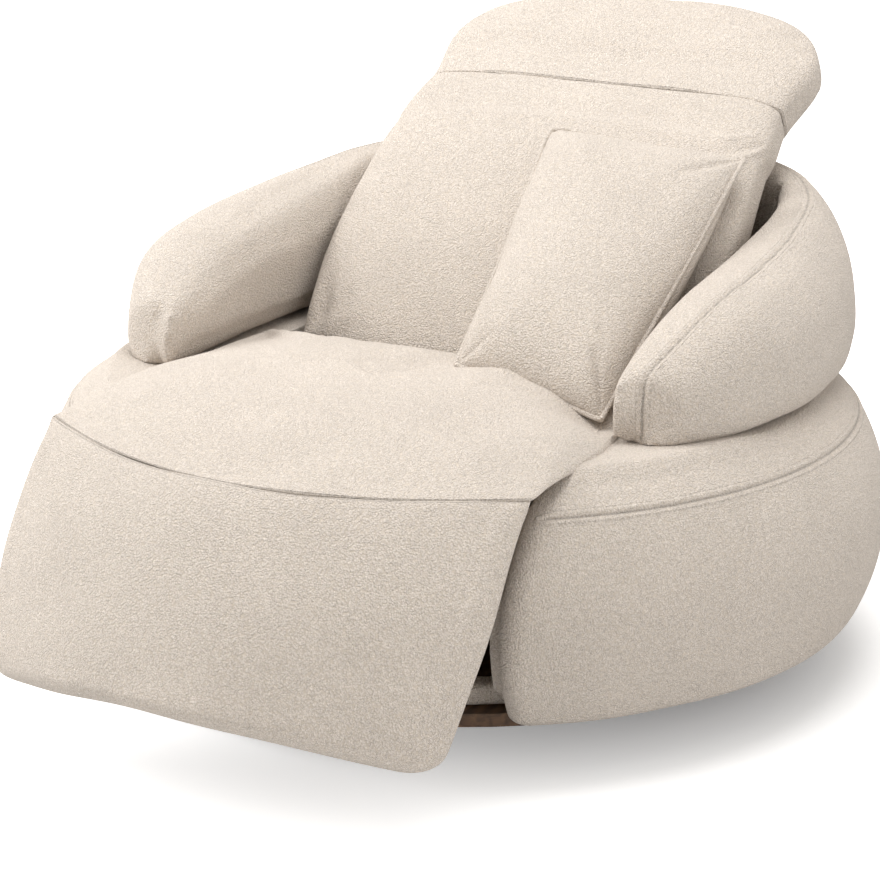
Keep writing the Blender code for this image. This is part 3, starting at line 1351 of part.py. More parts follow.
def pillow():
    """Knife-edge pillow: four drawn-in sides, full middle and a welt all round."""
    steps = 36
    outline = []
    for i in range(steps):
        t = 2 * math.pi * (i + 0.5) / steps
        c, s = math.cos(t), math.sin(t)
        x = math.copysign(abs(c) ** 0.26, c)
        y = math.copysign(abs(s) ** 0.26, s)
        waist_x = 1 - 0.035 * (1 - y * y)
        waist_y = 1 - 0.035 * (1 - x * x)
        width = PILLOW_WIDTH_LOW + (PILLOW_WIDTH_HIGH - PILLOW_WIDTH_LOW) * (y + 1) / 2
        outline.append((x * waist_x * width / 2, y * waist_y * PILLOW_HEIGHT / 2))
    half = PILLOW_THICKNESS / 2
    place = pillow_matrix()
    rings = []
    profile = [0.12, 0.38, 0.62, 0.82, 0.945]
    for sign, shares in ((-1, profile), (0, [1.0]), (1, list(reversed(profile)))):
        for s in shares:
            ring = []
            for x, y in outline:
                z = sign * (half * (1 - s**2.1) ** 0.75 + PILLOW_WELT / 2) if sign else 0.0
                ring.append(place @ Vector((x * s, y * s + PILLOW_HEIGHT / 2, z)))
            rings.append(ring)
    loft("lumbar_pillow", rings, "boucle")


def main():
    clear_scene()
    floor_base()
    swivel()
    drum()
    drum_ribs()
    opening_lining()
    tub()
    side_plates()
    motors()
    seat_frame()
    seat_springs()
    seat_cushion()
    knee()
    footrest_pad()
    footrest_board()
    footrest_linkage()
    recline_drive()
    back_hinge()
    back()
    headrest()
    ratchets()
    pillow()


main()
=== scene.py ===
import json
import math

import bpy
import numpy as np
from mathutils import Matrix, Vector


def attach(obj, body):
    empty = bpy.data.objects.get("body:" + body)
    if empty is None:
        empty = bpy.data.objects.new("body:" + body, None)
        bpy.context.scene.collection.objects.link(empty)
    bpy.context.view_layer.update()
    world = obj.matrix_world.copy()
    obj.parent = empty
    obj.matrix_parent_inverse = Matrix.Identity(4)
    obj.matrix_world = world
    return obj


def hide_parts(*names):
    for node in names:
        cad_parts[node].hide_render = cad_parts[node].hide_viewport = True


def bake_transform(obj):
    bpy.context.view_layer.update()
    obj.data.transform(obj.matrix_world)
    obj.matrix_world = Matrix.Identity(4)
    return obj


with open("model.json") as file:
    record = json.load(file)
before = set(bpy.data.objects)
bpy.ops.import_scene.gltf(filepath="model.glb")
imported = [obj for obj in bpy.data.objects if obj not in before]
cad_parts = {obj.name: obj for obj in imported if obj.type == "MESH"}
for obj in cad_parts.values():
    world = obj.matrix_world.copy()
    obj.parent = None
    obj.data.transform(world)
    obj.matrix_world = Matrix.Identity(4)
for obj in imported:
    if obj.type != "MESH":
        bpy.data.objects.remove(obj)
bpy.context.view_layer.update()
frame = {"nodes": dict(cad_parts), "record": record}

NODES = frame["nodes"]

# Sizes of the base drum, in metres
DRUM_BOTTOM = 0.0814
DRUM_SEAM_RADIUS, DRUM_SEAM_HEIGHT = 0.549, 0.354
DRUM_WIDEST_RADIUS, DRUM_WIDEST_HEIGHT = 0.590, 0.225
DRUM_FOOT_RADIUS = 0.556
DRUM_SHOULDER_RADIUS, DRUM_SHOULDER_HEIGHT = 0.492, 0.3915
DRUM_FOOT_ROUND, DRUM_HOLLOW_INSET, DRUM_TOP_INSET = 0.014, 0.023, 0.023
OPENING_LOW, OPENING_HIGH, OPENING_REAR, OPENING_CORNER = 0.305, 0.319, 0.300, 0.06
LOBE_EDGE = 0.025

# Padded strips in the opening: a post beside each lobe, a rail along the bottom
POST_LOW, POST_HIGH, POST_END = 0.1118, 0.3238, 0.009
POST_HALF_WIDE, POST_HALF_DEEP = 0.0138, 0.0200
RAIL_RADIUS, RAIL_HALF_WIDE = 0.4585, 0.0192
RAIL_HEIGHT, RAIL_HALF_HIGH = 0.0962, 0.0146
RAIL_END_HALF, RAIL_OUTER = 0.3080, 0.478

# Sizes of the tub of arms
TUB_CENTRE = 0.060
TUB_INSIDE_HALF, TUB_INSIDE_REAR, TUB_SQUARENESS = 0.338, 0.378, 7.0
TUB_NOSE = -36.0
TUB_TIP_ROUND, TUB_TIP_TURN, TUB_LEAN = 7.0, 4.3, 0.022
TUB_SEAM = math.radians(84)
TUB_ANGLES = (-36.0, -29.0, -20.0, 0.0, 20.0, 40.0, 60.0, 75.0, 90.0)
TUB_HEIGHTS = (0.480, 0.519, 0.558, 0.575, 0.590, 0.618, 0.636, 0.628, 0.606)
TUB_WIDTHS = (0.475, 0.489, 0.503, 0.513, 0.535, 0.580, 0.575, 0.565, 0.554)

# Sizes of the seat and the footrest
SEAM_HALF, SEAM_CORNER, SEAM_SAGITTA, SEAM_HEIGHT = 0.357, -0.468, 0.127, 0.391
SEAT_SIDE, SEAT_BETWEEN_ARMS, SEAT_REAR = 0.355, 0.333, 0.006
SEAT_UNDERSIDE, SEAT_LIP_HEIGHT, SEAT_ROLL, SEAT_CROWN = 0.326, 0.3932, 0.030, 0.028
TUFT = (0.035, -0.205)
FLAP_LOW_Y, FLAP_LOW_Z, FLAP_LOW_HALF = -0.655, 0.098, 0.336
FLAP_LOW_SAGITTA, FLAP_LOW_RISE = 0.100, 0.048
FLAP_THICK, FLAP_BULGE, FLAP_CORNER = 0.042, 0.020, 0.034
FLAP_PIVOT = (-0.470, 0.300)
FLAP_CLOSED_SLIDE, FLAP_CLOSED_TURN, FLAP_CLOSED_PUSH = 0.031, math.radians(34.0), 0.020
FLAP_BEND_TOP, FLAP_BEND_FOOT = 0.384, 0.300

# Sizes of the back and the headrest
BACK_FOOT, BACK_LENGTH = (0.004, 0.350), 0.560
BACK_LEAN_LOW, BACK_LEAN_HIGH = math.radians(30.0), math.radians(62.0)
BACK_HALF_LOW, BACK_HALF_HIGH, BACK_BULGE = 0.304, 0.290, 0.022
BACK_THICK_LOW, BACK_THICK_HIGH = 0.100, 0.076
HEAD_LENGTH, HEAD_LEAN = 0.231, math.radians(56.0)
PANEL_LOW, PANEL_HIGH, PANEL_HALF = 0.0832, 0.480, 0.244
PANEL_BEHIND, PANEL_THICK = 0.0127, 0.0185
SEAM_STEPS = (0.0004, 0.0011, 0.002, 0.0032, 0.0045)

# Corners of the pillow: low at the sitter's right, low at the left, high at the left, high at the right
PILLOW_CORNERS = (
    (0.0800, -0.1660, 0.4470), (0.3040, -0.1780, 0.4060), (0.3010, 0.2640, 0.6720), (0.0150, 0.2230, 0.6980),
)
PILLOW_HALF_THICK, WELT_RADIUS = 0.060, 0.0036

# Camera, and lamps as (name, place, aim, width, power)
CAMERA_TURN, CAMERA_RISE, CAMERA_AWAY = math.radians(29.9), math.radians(17.1), 3.956
CAMERA_AIM = (-0.038, 0.0, 0.287)
FOCAL_PIXELS, PICTURE_PIXELS, SENSOR_WIDTH = 2800.0, 880.0, 36.0
LAMPS = (
    ("key", (-2.9, -1.0, 2.9), (0.0, -0.1, 0.4), 1.7, 82.0),
    ("top", (0.3, 0.1, 3.5), (0.0, 0.0, 0.4), 2.4, 68.0),
    ("side", (-3.4, -0.6, 1.1), (0.0, 0.0, 0.4), 1.4, 36.0),
    ("fill", (3.3, -1.7, 1.5), (0.0, 0.0, 0.3), 2.4, 24.0),
)
AMBIENT, AMBIENT_TONE = 0.67, (1.0, 0.975, 0.945, 1)
FLOOR_HALF = 14.0
# Floor's camera-only glow by distance from a point beside the chair: weak near it as a painted shadow, full white
# beyond 1.22 m
PAINTED_SHADOW_CENTRE, PAINTED_SHADOW_REACH, PAINTED_SHADOW_GLOW = (0.22, 0.12, 0.0), (0.25, 1.22), (0.17, 1.0)
WHITE = (1, 1, 1, 1)


# Mesh helpers
def sleeve(rows, count):
    """Numbers of a ring's points, of their neighbours, and the quads between all rings."""
    here = np.arange(count)
    beyond = (here + 1) % count
    row = np.arange(rows - 1)[:, None] * count
    quads = np.stack([row + here, row + beyond, row + count + beyond, row + count + here], -1).reshape(-1, 4)
    return here, beyond, quads


def closed_mesh(name, rings, strip=False):
    """Closed body through an array of rings (rows, points, 3).

    Each end is closed by a pole in its middle, or by a strip of quads where the rings are long and thin.
    """
    rows, count, _ = rings.shape
    here, beyond, quads = sleeve(rows, count)
    last = (rows - 1) * count
    if strip:
        i = np.arange(count // 2 - 1)
        low = np.stack([i + 1, i, count - 1 - i, count - 2 - i], -1)
        high = low[:, ::-1] + last
        return mesh_object(name, rings.reshape(-1, 3), [*quads.tolist(), *low.tolist(), *high.tolist()])
    points = np.concatenate([rings.reshape(-1, 3), rings[:1].mean(1), rings[-1:].mean(1)])
    low = np.stack([beyond, here, np.full(count, rows * count)], -1)
    high = np.stack([last + here, last + beyond, np.full(count, rows * count + 1)], -1)
    return mesh_object(name, points, [*quads.tolist(), *low.tolist(), *high.tolist()])


def ring_mesh(name, rings):
    """Closed body through an array of rings (rows, points, 3), with one flat face over each end."""
    rows, count, _ = rings.shape
    here, _, quads = sleeve(rows, count)
    ends = [here[::-1].tolist(), (here + (rows - 1) * count).tolist()]
    return mesh_object(name, rings.reshape(-1, 3), quads.tolist() + ends)


def two_faced(name, over, under):
    """Closed body from two grids of points that share their border, and the new number of each grid point."""
    rows, cols, _ = over.shape
    index = np.arange(rows * cols).reshape(rows, cols)
    other = index + rows * cols
    for line in (np.s_[0], np.s_[-1], np.s_[:, 0], np.s_[:, -1]):
        other[line] = index[line]
    faces = np.concatenate([
        np.stack([i[:-1, :-1], i[:-1, 1:], i[1:, 1:], i[1:, :-1]], -1).reshape(-1, 4)[:, ::flip]
        for i, flip in ((index, 1), (other, -1))
    ])
    used = np.unique(faces)
    number = np.zeros(2 * rows * cols, int)
    number[used] = np.arange(len(used))
    points = np.concatenate([over.reshape(-1, 3), under.reshape(-1, 3)])[used]
    return mesh_object(name, points, number[faces].tolist()), number[index]


def bunched(count, pull=1.45):
    """Steps from -1 to 1 that crowd towards both ends, as the sine does."""
    return np.sin(np.linspace(-1, 1, count) * pull) / math.sin(pull)


def round_angles(count):
    """Angles round a section as one row, half a step off the axes."""
    return (2 * math.pi * (np.arange(count) + 0.5) / count)[None]


def eased_steps(count):
    """Steps from 0 to 1 that crowd towards both ends by a cosine."""
    return 0.5 - 0.5 * np.cos(np.linspace(0, math.pi, count))


def rounded(wave, power):
    """Sine or cosine raised to a power with its sign kept: one side of a superellipse."""
    return np.sign(wave) * np.abs(wave) ** power


def quarter(share):
    """Quarter round: climbs steeply from 0 and arrives level at 1."""
    return np.sqrt(1 - (1 - np.clip(share, 0, 1)) ** 2)


def mesh_object(name, points, faces):
    """New smooth-shaded object with its faces turned outwards."""
    mesh = bpy.data.meshes.new(name)
    mesh.from_pydata(np.asarray(points).tolist(), [], faces)
    mesh.update()
    if volume(mesh) < 0:
        mesh.flip_normals()
    mesh.shade_smooth()
    obj = bpy.data.objects.new(name, mesh)
    bpy.context.scene.collection.objects.link(obj)
    return obj


def volume(mesh):
    """Volume from the mesh's triangles: the sum of each one's box product over six."""
    mesh.calc_loop_triangles()
    corners = np.empty(len(mesh.loop_triangles) * 3, np.int32)
    mesh.loop_triangles.foreach_get("vertices", corners)
    tri = coordinates(mesh)[corners.reshape(-1, 3)]
    return float(np.einsum("ij,ij->i", tri[:, 0], np.cross(tri[:, 1], tri[:, 2])).sum() / 6)


def coordinates(mesh):
    co = np.empty(len(mesh.vertices) * 3)
    mesh.vertices.foreach_get("co", co)
    return co.reshape(-1, 3)


def normals(mesh):
    out = np.empty(len(mesh.vertices) * 3)
    mesh.vertices.foreach_get("normal", out)
    return out.reshape(-1, 3)


def place(mesh, points):
    mesh.vertices.foreach_set("co", np.ascontiguousarray(points).ravel())
    mesh.update()


def use_result(obj):
    """Turns the evaluated shape of an object into its mesh and clears its modifiers."""
    graph = bpy.context.evaluated_depsgraph_get()
    mesh = bpy.data.meshes.new_from_object(obj.evaluated_get(graph))
    old = obj.data
    obj.modifiers.clear()
    obj.data = mesh
    bpy.data.meshes.remove(old)
    obj.data.name = obj.name


def remeshed(obj, voxel, smooth=4):
    """Even quads of one size all over, then smoothed so that no steps are left."""
    remesh = obj.modifiers.new("even", "REMESH")
    remesh.mode = "VOXEL"
    remesh.voxel_size = voxel
    remesh.use_smooth_shade = True
    relax = obj.modifiers.new("relax", "SMOOTH")
    relax.factor, relax.iterations = 0.5, smooth
    use_result(obj)


def inflate(obj, hold, pressure, cap, frames, stiffness, bending=2.0):
    """Blows the cover up from inside. hold is each point's share of pinning, cap the longest way it may move."""
    rest = coordinates(obj.data)
    group = obj.vertex_groups.new(name="held")
    level = np.round(np.clip(hold, 0, 1) * 10) / 10
    for value in np.unique(level):
        if value > 0:
            group.add(np.nonzero(level == value)[0].tolist(), float(value), "REPLACE")
    cloth = obj.modifiers.new("cloth", "CLOTH")
    cloth.point_cache.frame_start, cloth.point_cache.frame_end = 1, frames
    settings = cloth.settings
    settings.quality = 5
    settings.mass = 0.3
    settings.tension_stiffness = settings.compression_stiffness = stiffness
    settings.shear_stiffness = stiffness * 0.5
    settings.bending_stiffness = bending
    settings.use_pressure = True
    settings.uniform_pressure_force = pressure
    settings.effector_weights.gravity = 0.0
    settings.vertex_group_mass = "held"
    cloth.collision_settings.use_collision = False
    scene = bpy.context.scene
    for number in range(1, frames + 1):
        scene.frame_set(number)
    graph = bpy.context.evaluated_depsgraph_get()
    blown = coordinates(obj.evaluated_get(graph).data)
    move = blown - rest
    length = np.linalg.norm(move, axis=1, keepdims=True)
    move *= np.minimum(1.0, cap / np.maximum(length, 1e-9))
    obj.modifiers.clear()
    obj.vertex_groups.clear()
    place(obj.data, rest + move)
    scene.frame_set(1)


def subdivided(obj):
    modifier = obj.modifiers.new("fine", "SUBSURF")
    modifier.levels = modifier.render_levels = 1
    use_result(obj)
    obj.data.shade_smooth()


def near(value, middle, width):
    """Bell curve: 1 at the middle, falling off over the width."""
    return np.exp(-(((value - middle) / width) ** 2))


def ease(share):
    share = np.clip(share, 0, 1)
    return share * share * (3 - 2 * share)


def distance_to(points, line):
    """Least distance from each point to a polyline: the foot of the perpendicular on each of its segments."""
    x, y, z = np.ascontiguousarray(points.T, np.float32)
    best = np.full(len(points), 1e9, np.float32)
    line = np.asarray(line, np.float32)
    for (ax, ay, az), (ux, uy, uz) in zip(line[:-1], np.diff(line, axis=0)):
        px, py, pz = x - ax, y - ay, z - az
        share = np.clip((px * ux + py * uy + pz * uz) / max(ux * ux + uy * uy + uz * uz, 1e-12), 0, 1)
        best = np.minimum(best, (px - share * ux) ** 2 + (py - share * uy) ** 2 + (pz - share * uz) ** 2)
    return np.sqrt(best).astype(float)


def nearest(points, line):
    """Lays a line on a surface: the vertex closest to each of its points, then evened out along the line."""
    line = points[np.array([np.argmin(((points - spot) ** 2).sum(1)) for spot in line])]
    for _ in range(3):
        line[1:-1] = (line[:-2] + 2 * line[1:-1] + line[2:]) / 4
    return line


def sew(obj, line, depth=0.0035, width=0.0035, ridge=0.0014, reach=0.020):
    """Presses a seam into a cover: a groove along the line with a soft ridge on each side.

    The attribute sewn falls from 1 on the line to 0 at the reach, for the darker thread line with painted shade in
    the groove, and the row of topstitching.
    """
    points = coordinates(obj.data)
    d = distance_to(points, line)
    shift = -depth * near(d, 0, width) + ridge * near(d, 2.3 * width, width)
    place(obj.data, points + normals(obj.data) * shift[:, None])
    sewn = obj.data.attributes.get("sewn") or obj.data.attributes.new("sewn", "FLOAT", "POINT")
    before = np.empty(len(points), np.float32)
    sewn.data.foreach_get("value", before)
    sewn.data.foreach_set("value", np.maximum(before, np.clip(1 - d / reach, 0, 1)).astype(np.float32))


def swell(obj, amount, scale, seed):
    """Uneven stuffing: a few crossing sine waves of about the given length, along the normals."""
    points = coordinates(obj.data)
    rng = np.random.RandomState(seed)
    wave = np.zeros(len(points))
    for _ in range(7):
        direction = rng.normal(size=3)
        direction /= np.linalg.norm(direction)
        wave += np.sin(points @ direction * (2 * math.pi / (scale * rng.uniform(0.7, 1.5))) + rng.uniform(0, 6.28))
    place(obj.data, points + normals(obj.data) * (wave * amount / 3.0)[:, None])


# Materials
def wire(tree, target, inputs):
    """Sets each input of a node: a socket is linked, any other value is written in."""
    for key, value in dict(inputs).items():
        if isinstance(value, bpy.types.NodeSocket):
            tree.links.new(value, target.inputs[key])
        else:
            target.inputs[key].default_value = value


def node(tree, kind, inputs=(), **settings):
    new = tree.nodes.new(kind)
    for key, value in settings.items():
        setattr(new, key, value)
    wire(tree, new, inputs)
    return new


def maths(tree, operation, first, second=0.5):
    return node(tree, "ShaderNodeMath", {0: first, 1: second}, operation=operation).outputs["Value"]


def span(tree, value, source, target):
    """Carries a value from one range over to another."""
    ends = {"From Min": source[0], "From Max": source[1], "To Min": target[0], "To Max": target[1]}
    return node(tree, "ShaderNodeMapRange", {"Value": value, **ends}).outputs["Result"]


def noise(tree, where, scale, detail, **more):
    return node(tree, "ShaderNodeTexNoise", {"Vector": where, "Scale": scale, "Detail": detail, **more})


def scaled(tree, colour, factor):
    inputs = {0: colour, "Scale": factor}
    return node(tree, "ShaderNodeVectorMath", inputs, operation="SCALE").outputs["Vector"]


def bumped(tree, height, strength, distance):
    inputs = {"Height": height, "Strength": strength, "Distance": distance}
    return node(tree, "ShaderNodeBump", inputs).outputs["Normal"]


def blended(tree, factor, first, second, kind="RGBA"):
    inputs = {"Factor": factor, "A": first, "B": second}
    return node(tree, "ShaderNodeMix", inputs, data_type=kind).outputs["Result"]


def new_material(name):
    """New material with its node tree, its shader and the object's own coordinates."""
    mat = bpy.data.materials.new(name)
    mat.use_nodes = True
    tree = mat.node_tree
    where = node(tree, "ShaderNodeTexCoord").outputs["Object"]
    return mat, tree, tree.nodes["Principled BSDF"], where


def boucle(name="boucle", tint=(0.735, 0.660, 0.592)):
    """Looped wool: nubs 3 mm across in relief, with painted shade between them and a painted highlight on their tops,
    and a darker line along each seam: the thread with painted shade in its groove.
    """
    mat, tree, shader, where = new_material(name)
    warp = noise(tree, where, 160.0, 2.0).outputs["Color"]
    pushed = blended(tree, 0.003, where, warp, "VECTOR")
    loops = node(tree, "ShaderNodeTexVoronoi", {"Vector": pushed, "Scale": 410.0, "Randomness": 1.0})
    nubs = noise(tree, where, 280.0, 4.0, Roughness=0.7).outputs["Fac"]
    slow = noise(tree, where, 9.0, 3.0, Roughness=0.5).outputs["Fac"]
    height = maths(tree, "MULTIPLY", span(tree, loops.outputs["Distance"], (0.0, 0.8), (1.0, 0.0)), nubs)
    level = node(tree, "ShaderNodeValToRGB", {"Fac": height})
    ramp = level.color_ramp
    # Colour by nub height: painted shade in the hollows between nubs, painted highlight on their crests
    hollow, lit_crest = ramp.elements[0], ramp.elements[1]
    hollow.position, hollow.color = 0.04, (tint[0] * 0.78, tint[1] * 0.76, tint[2] * 0.72, 1)
    lit_crest.position, lit_crest.color = 0.55, (tint[0] * 1.08, tint[1] * 1.085, tint[2] * 1.10, 1)
    middle = ramp.elements.new(0.28)
    middle.color = (*tint, 1)
    patch = span(tree, slow, (0.3, 0.7), (0.97, 1.03))
    loop_tone = span(tree, loops.outputs["Color"], (0.0, 1.0), (0.88, 1.10))
    sewn = node(tree, "ShaderNodeAttribute", attribute_name="sewn").outputs["Fac"]
    # Darker line on the seam: the thread together with painted shade in the seam's groove
    thread_and_groove_shade = span(tree, sewn, (0.86, 0.97), (1.0, 0.62))
    from_stitch = maths(tree, "ABSOLUTE", maths(tree, "SUBTRACT", sewn, 0.56))
    pressed = maths(tree, "SUBTRACT", height, span(tree, from_stitch, (0.0, 0.10), (0.38, 0.0)))
    shade = maths(tree, "MULTIPLY", maths(tree, "MULTIPLY", patch, loop_tone), thread_and_groove_shade)
    wire(tree, shader, {
        "Base Color": scaled(tree, level.outputs["Color"], shade), "Normal": bumped(tree, pressed, 1.0, 0.0042),
        "Roughness": 0.96, "Specular IOR Level": 0.12,
        "Sheen Weight": 0.25, "Sheen Roughness": 0.55, "Sheen Tint": (1.0, 0.96, 0.91, 1),
    })
    return mat


def grained_wood(name, light, dark, roughness):
    """Plywood or stained board: stretched noise along Y for the grain."""
    mat, tree, shader, where = new_material(name)
    stretch = node(tree, "ShaderNodeMapping", {"Vector": where, "Scale": (60.0, 6.0, 60.0)})
    grain = noise(tree, stretch.outputs["Vector"], 1.6, 6.0, Distortion=0.6).outputs["Fac"]
    level = node(tree, "ShaderNodeValToRGB", {"Fac": grain})
    early, late = level.color_ramp.elements[0], level.color_ramp.elements[1]
    early.position, early.color = 0.36, (*dark, 1)
    late.position, late.color = 0.64, (*light, 1)
    wire(tree, shader, {
        "Base Color": level.outputs["Color"], "Normal": bumped(tree, grain, 0.25, 0.0005), "Roughness": roughness,
    })
    return mat


def hard_surface(name, colour, roughness, metallic, grain, bump_size):
    """Steel, powder coat, nylon or moulded plastic: speckled roughness and a fine bump."""
    mat, tree, shader, where = new_material(name)
    speckle = noise(tree, where, grain, 3.0).outputs["Fac"]
    wire(tree, shader, {
        "Base Color": scaled(tree, colour, span(tree, speckle, (0.0, 1.0), (0.88, 1.10))),
        "Roughness": span(tree, speckle, (0.0, 1.0), (roughness - 0.10, roughness + 0.12)),
        "Normal": bumped(tree, speckle, 0.3, bump_size), "Metallic": metallic,
    })
    return mat


BOUCLE = boucle()
FRAME_WOOD = grained_wood("frame_wood", (0.42, 0.28, 0.16), (0.26, 0.16, 0.08), 0.6)
DARK_WOOD = grained_wood("dark_wood", (0.150, 0.080, 0.038), (0.065, 0.034, 0.017), 0.55)
STEEL = hard_surface("zinc_steel", (0.46, 0.46, 0.47), 0.38, 1.0, 90.0, 0.0002)
BLACK_STEEL = hard_surface("powder_coat", (0.022, 0.022, 0.023), 0.52, 0.0, 900.0, 0.0003)
NYLON = hard_surface("nylon", (0.62, 0.61, 0.57), 0.45, 0.0, 60.0, 0.0002)
PLASTIC = hard_surface("motor_plastic", (0.030, 0.030, 0.033), 0.50, 0.0, 1400.0, 0.0002)
RUBBER = hard_surface("pad_rubber", (0.018, 0.018, 0.018), 0.80, 0.0, 500.0, 0.0004)
SLOT_MATERIALS = {
    "boucle": BOUCLE, "frame_wood": FRAME_WOOD, "dark_wood": DARK_WOOD, "steel": STEEL,
    "black_steel": BLACK_STEEL, "runner_nylon": NYLON, "motor_plastic": PLASTIC, "pad_rubber": RUBBER,
}


def dress(obj, material):
    obj.data.materials.clear()
    obj.data.materials.append(material)


def cover(obj, body, *nodes, fill):
    """Puts the fabric on a soft piece, lets it ride on its body and stand for its CAD solids."""
    dress(obj, BOUCLE)
    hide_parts(*nodes)
    if body:
        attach(obj, body)
    return obj


# Base drum
def drum_radius(z):
    """Barrel: widest at its middle height, drawn in below by a power curve and above by a parabola."""
    below = np.clip((DRUM_WIDEST_HEIGHT - z) / (DRUM_WIDEST_HEIGHT - DRUM_BOTTOM), 0, 1)
    above = np.clip((z - DRUM_WIDEST_HEIGHT) / (DRUM_SEAM_HEIGHT - DRUM_WIDEST_HEIGHT), 0, 1)
    radius = DRUM_WIDEST_RADIUS - (DRUM_WIDEST_RADIUS - DRUM_FOOT_RADIUS) * below**2.2
    return radius - (DRUM_WIDEST_RADIUS - DRUM_SEAM_RADIUS) * above**2


def opening_half(z):
    """Half-width of the drum's front opening, which widens a little towards the top."""
    share = np.clip((z - DRUM_BOTTOM) / (DRUM_SHOULDER_HEIGHT - DRUM_BOTTOM), 0, 1)
    return OPENING_LOW + (OPENING_HIGH - OPENING_LOW) * share


def drum_outline(radius, half):
    """Horseshoes seen from above, one row to each radius: a lobe's edge, the barrel, the other edge, the opening."""
    radius, half = radius[:, None], half[:, None]
    corner, rear = OPENING_CORNER, OPENING_REAR
    cx = half + LOBE_EDGE
    cy = -np.sqrt((radius - LOBE_EDGE) ** 2 - cx**2)
    turn = np.arctan2(cy, cx)
    edge = -math.pi + (turn + math.pi) * np.linspace(0, 1, 15)[None, :-1]
    barrel = turn + (math.pi - 2 * turn) * np.linspace(0, 0.5, 161)[None]
    down = np.linspace(0, 1, 41)[None, :-1]
    bend = np.radians(np.linspace(0, 90, 9))[None]
    across = np.linspace(1, 0, 15)[None, 1:]
    x = [cx + LOBE_EDGE * np.cos(edge), radius * np.cos(barrel)]
    y = [cy + LOBE_EDGE * np.sin(edge), radius * np.sin(barrel)]
    inner_x = [half + 0 * down, half - corner * (1 - np.cos(bend)), (half - corner) * across]
    turned_y = rear - corner * (1 - np.sin(bend)) + 0 * half
    inner_y = [cy + (rear - corner - cy) * down, turned_y, rear + 0 * across * half]
    right_x, right_y = np.concatenate(x, 1), np.concatenate(y, 1)
    inside_x, inside_y = np.concatenate(inner_x, 1)[:, 1:], np.concatenate(inner_y, 1)[:, 1:]
    xs = np.concatenate([right_x, -right_x[:, -2::-1], -inside_x, inside_x[:, -2::-1]], 1)
    ys = np.concatenate([right_y, right_y[:, -2::-1], inside_y, inside_y[:, -2::-1]], 1)
    return xs, ys


def inset(xs, ys, distance):
    """Moves each outline inwards: every point along the normal of the line through its two neighbours."""
    tx, ty = np.roll(xs, -1, 1) - np.roll(xs, 1, 1), np.roll(ys, -1, 1) - np.roll(ys, 1, 1)
    long = np.hypot(tx, ty)
    return xs - ty / long * distance[:, None], ys + tx / long * distance[:, None]


def base_drum():
    """Levels of height, barrel radius and inset: down the hollow's wall, round the foot, up the barrel, over the top."""
    foot = np.radians(np.linspace(0, 90, 9))
    low = DRUM_BOTTOM + DRUM_FOOT_ROUND * (1 - np.sin(foot))
    side = np.concatenate([
        np.linspace(DRUM_BOTTOM + 0.020, DRUM_SEAM_HEIGHT - 0.012, 36), DRUM_SEAM_HEIGHT + np.linspace(-0.010, 0, 9),
    ])
    share = np.concatenate([np.linspace(0, 0.16, 9)[1:], np.linspace(0.16, 1, 16)[1:]])
    rise = 0.62 * share + 0.38 * np.sin(share * math.pi / 2)
    over = np.linspace(0, DRUM_TOP_INSET, 10)[1:]
    z = np.concatenate([
        [0.341, 0.250, 0.150, DRUM_BOTTOM + 0.006], np.full(3, DRUM_BOTTOM), low[::-1][1:], side,
        DRUM_SEAM_HEIGHT + (DRUM_SHOULDER_HEIGHT - DRUM_SEAM_HEIGHT) * rise, np.full(len(over), DRUM_SHOULDER_HEIGHT),
    ])
    radius = drum_radius(z)
    top = len(z) - len(share) - len(over)
    shoulder = DRUM_SEAM_RADIUS - (DRUM_SEAM_RADIUS - DRUM_SHOULDER_RADIUS) * share
    radius[top:] = np.concatenate([shoulder, np.full(len(over), DRUM_SHOULDER_RADIUS)])
    into = np.concatenate([
        np.full(4, DRUM_HOLLOW_INSET), [0.020, 0.017, DRUM_FOOT_ROUND],
        (DRUM_FOOT_ROUND * (1 - np.cos(foot)))[::-1][1:], np.zeros(len(side) + len(share)), over,
    ])
    xs, ys = inset(*drum_outline(radius, opening_half(z)), into)
    drum = ring_mesh("base_drum", np.stack([xs, ys, z[:, None] + 0 * xs], -1))
    points = coordinates(drum.data)
    reach = np.hypot(points[:, 0], points[:, 1])
    ahead = ease((-0.05 - points[:, 1]) / 0.1)
    points[:, 2] += 0.007 * ahead * near(reach, 0.485, 0.06) * ease((points[:, 2] - 0.378) / 0.012)
    place(drum.data, points)
    swell(drum, 0.0008, 0.16, 3)
    angle = np.radians(np.linspace(-52, 232, 260))
    x, y = DRUM_SEAM_RADIUS * np.cos(angle), DRUM_SEAM_RADIUS * np.sin(angle)
    sew(drum, np.stack([x, y, np.full(len(angle), DRUM_SEAM_HEIGHT)], -1), 0.0028, 0.0028, 0.0010)
    return cover(drum, "platform", "base_drum_cover", fill=0.9)


def inner_post(side, node_name):
    """Padded strip down the opening's wall: rounded-rectangle sections that follow the lobe's front line."""
    z = POST_LOW + (POST_HIGH - POST_LOW) * eased_steps(46)
    full = 0.55 + 0.45 * quarter(np.minimum(z - POST_LOW, POST_HIGH - z) / POST_END)
    outer = 0.3075 + 0.014 * (z - 0.081) / 0.311
    front = -np.sqrt(drum_radius(z) ** 2 - outer**2) + 0.056
    t = round_angles(40)
    c, d = (rounded(wave, 0.42) for wave in (np.cos(t), np.sin(t)))
    x = side * (outer - 0.0142)[:, None] + POST_HALF_WIDE * c * full[:, None]
    y = (front + 0.0195)[:, None] + POST_HALF_DEEP * d * full[:, None]
    piece = closed_mesh(node_name + "_cover", np.stack([x, y, z[:, None] + 0 * x], -1))
    swell(piece, 0.0006, 0.06, 71)
    return cover(piece, "platform", node_name, fill=0.9)


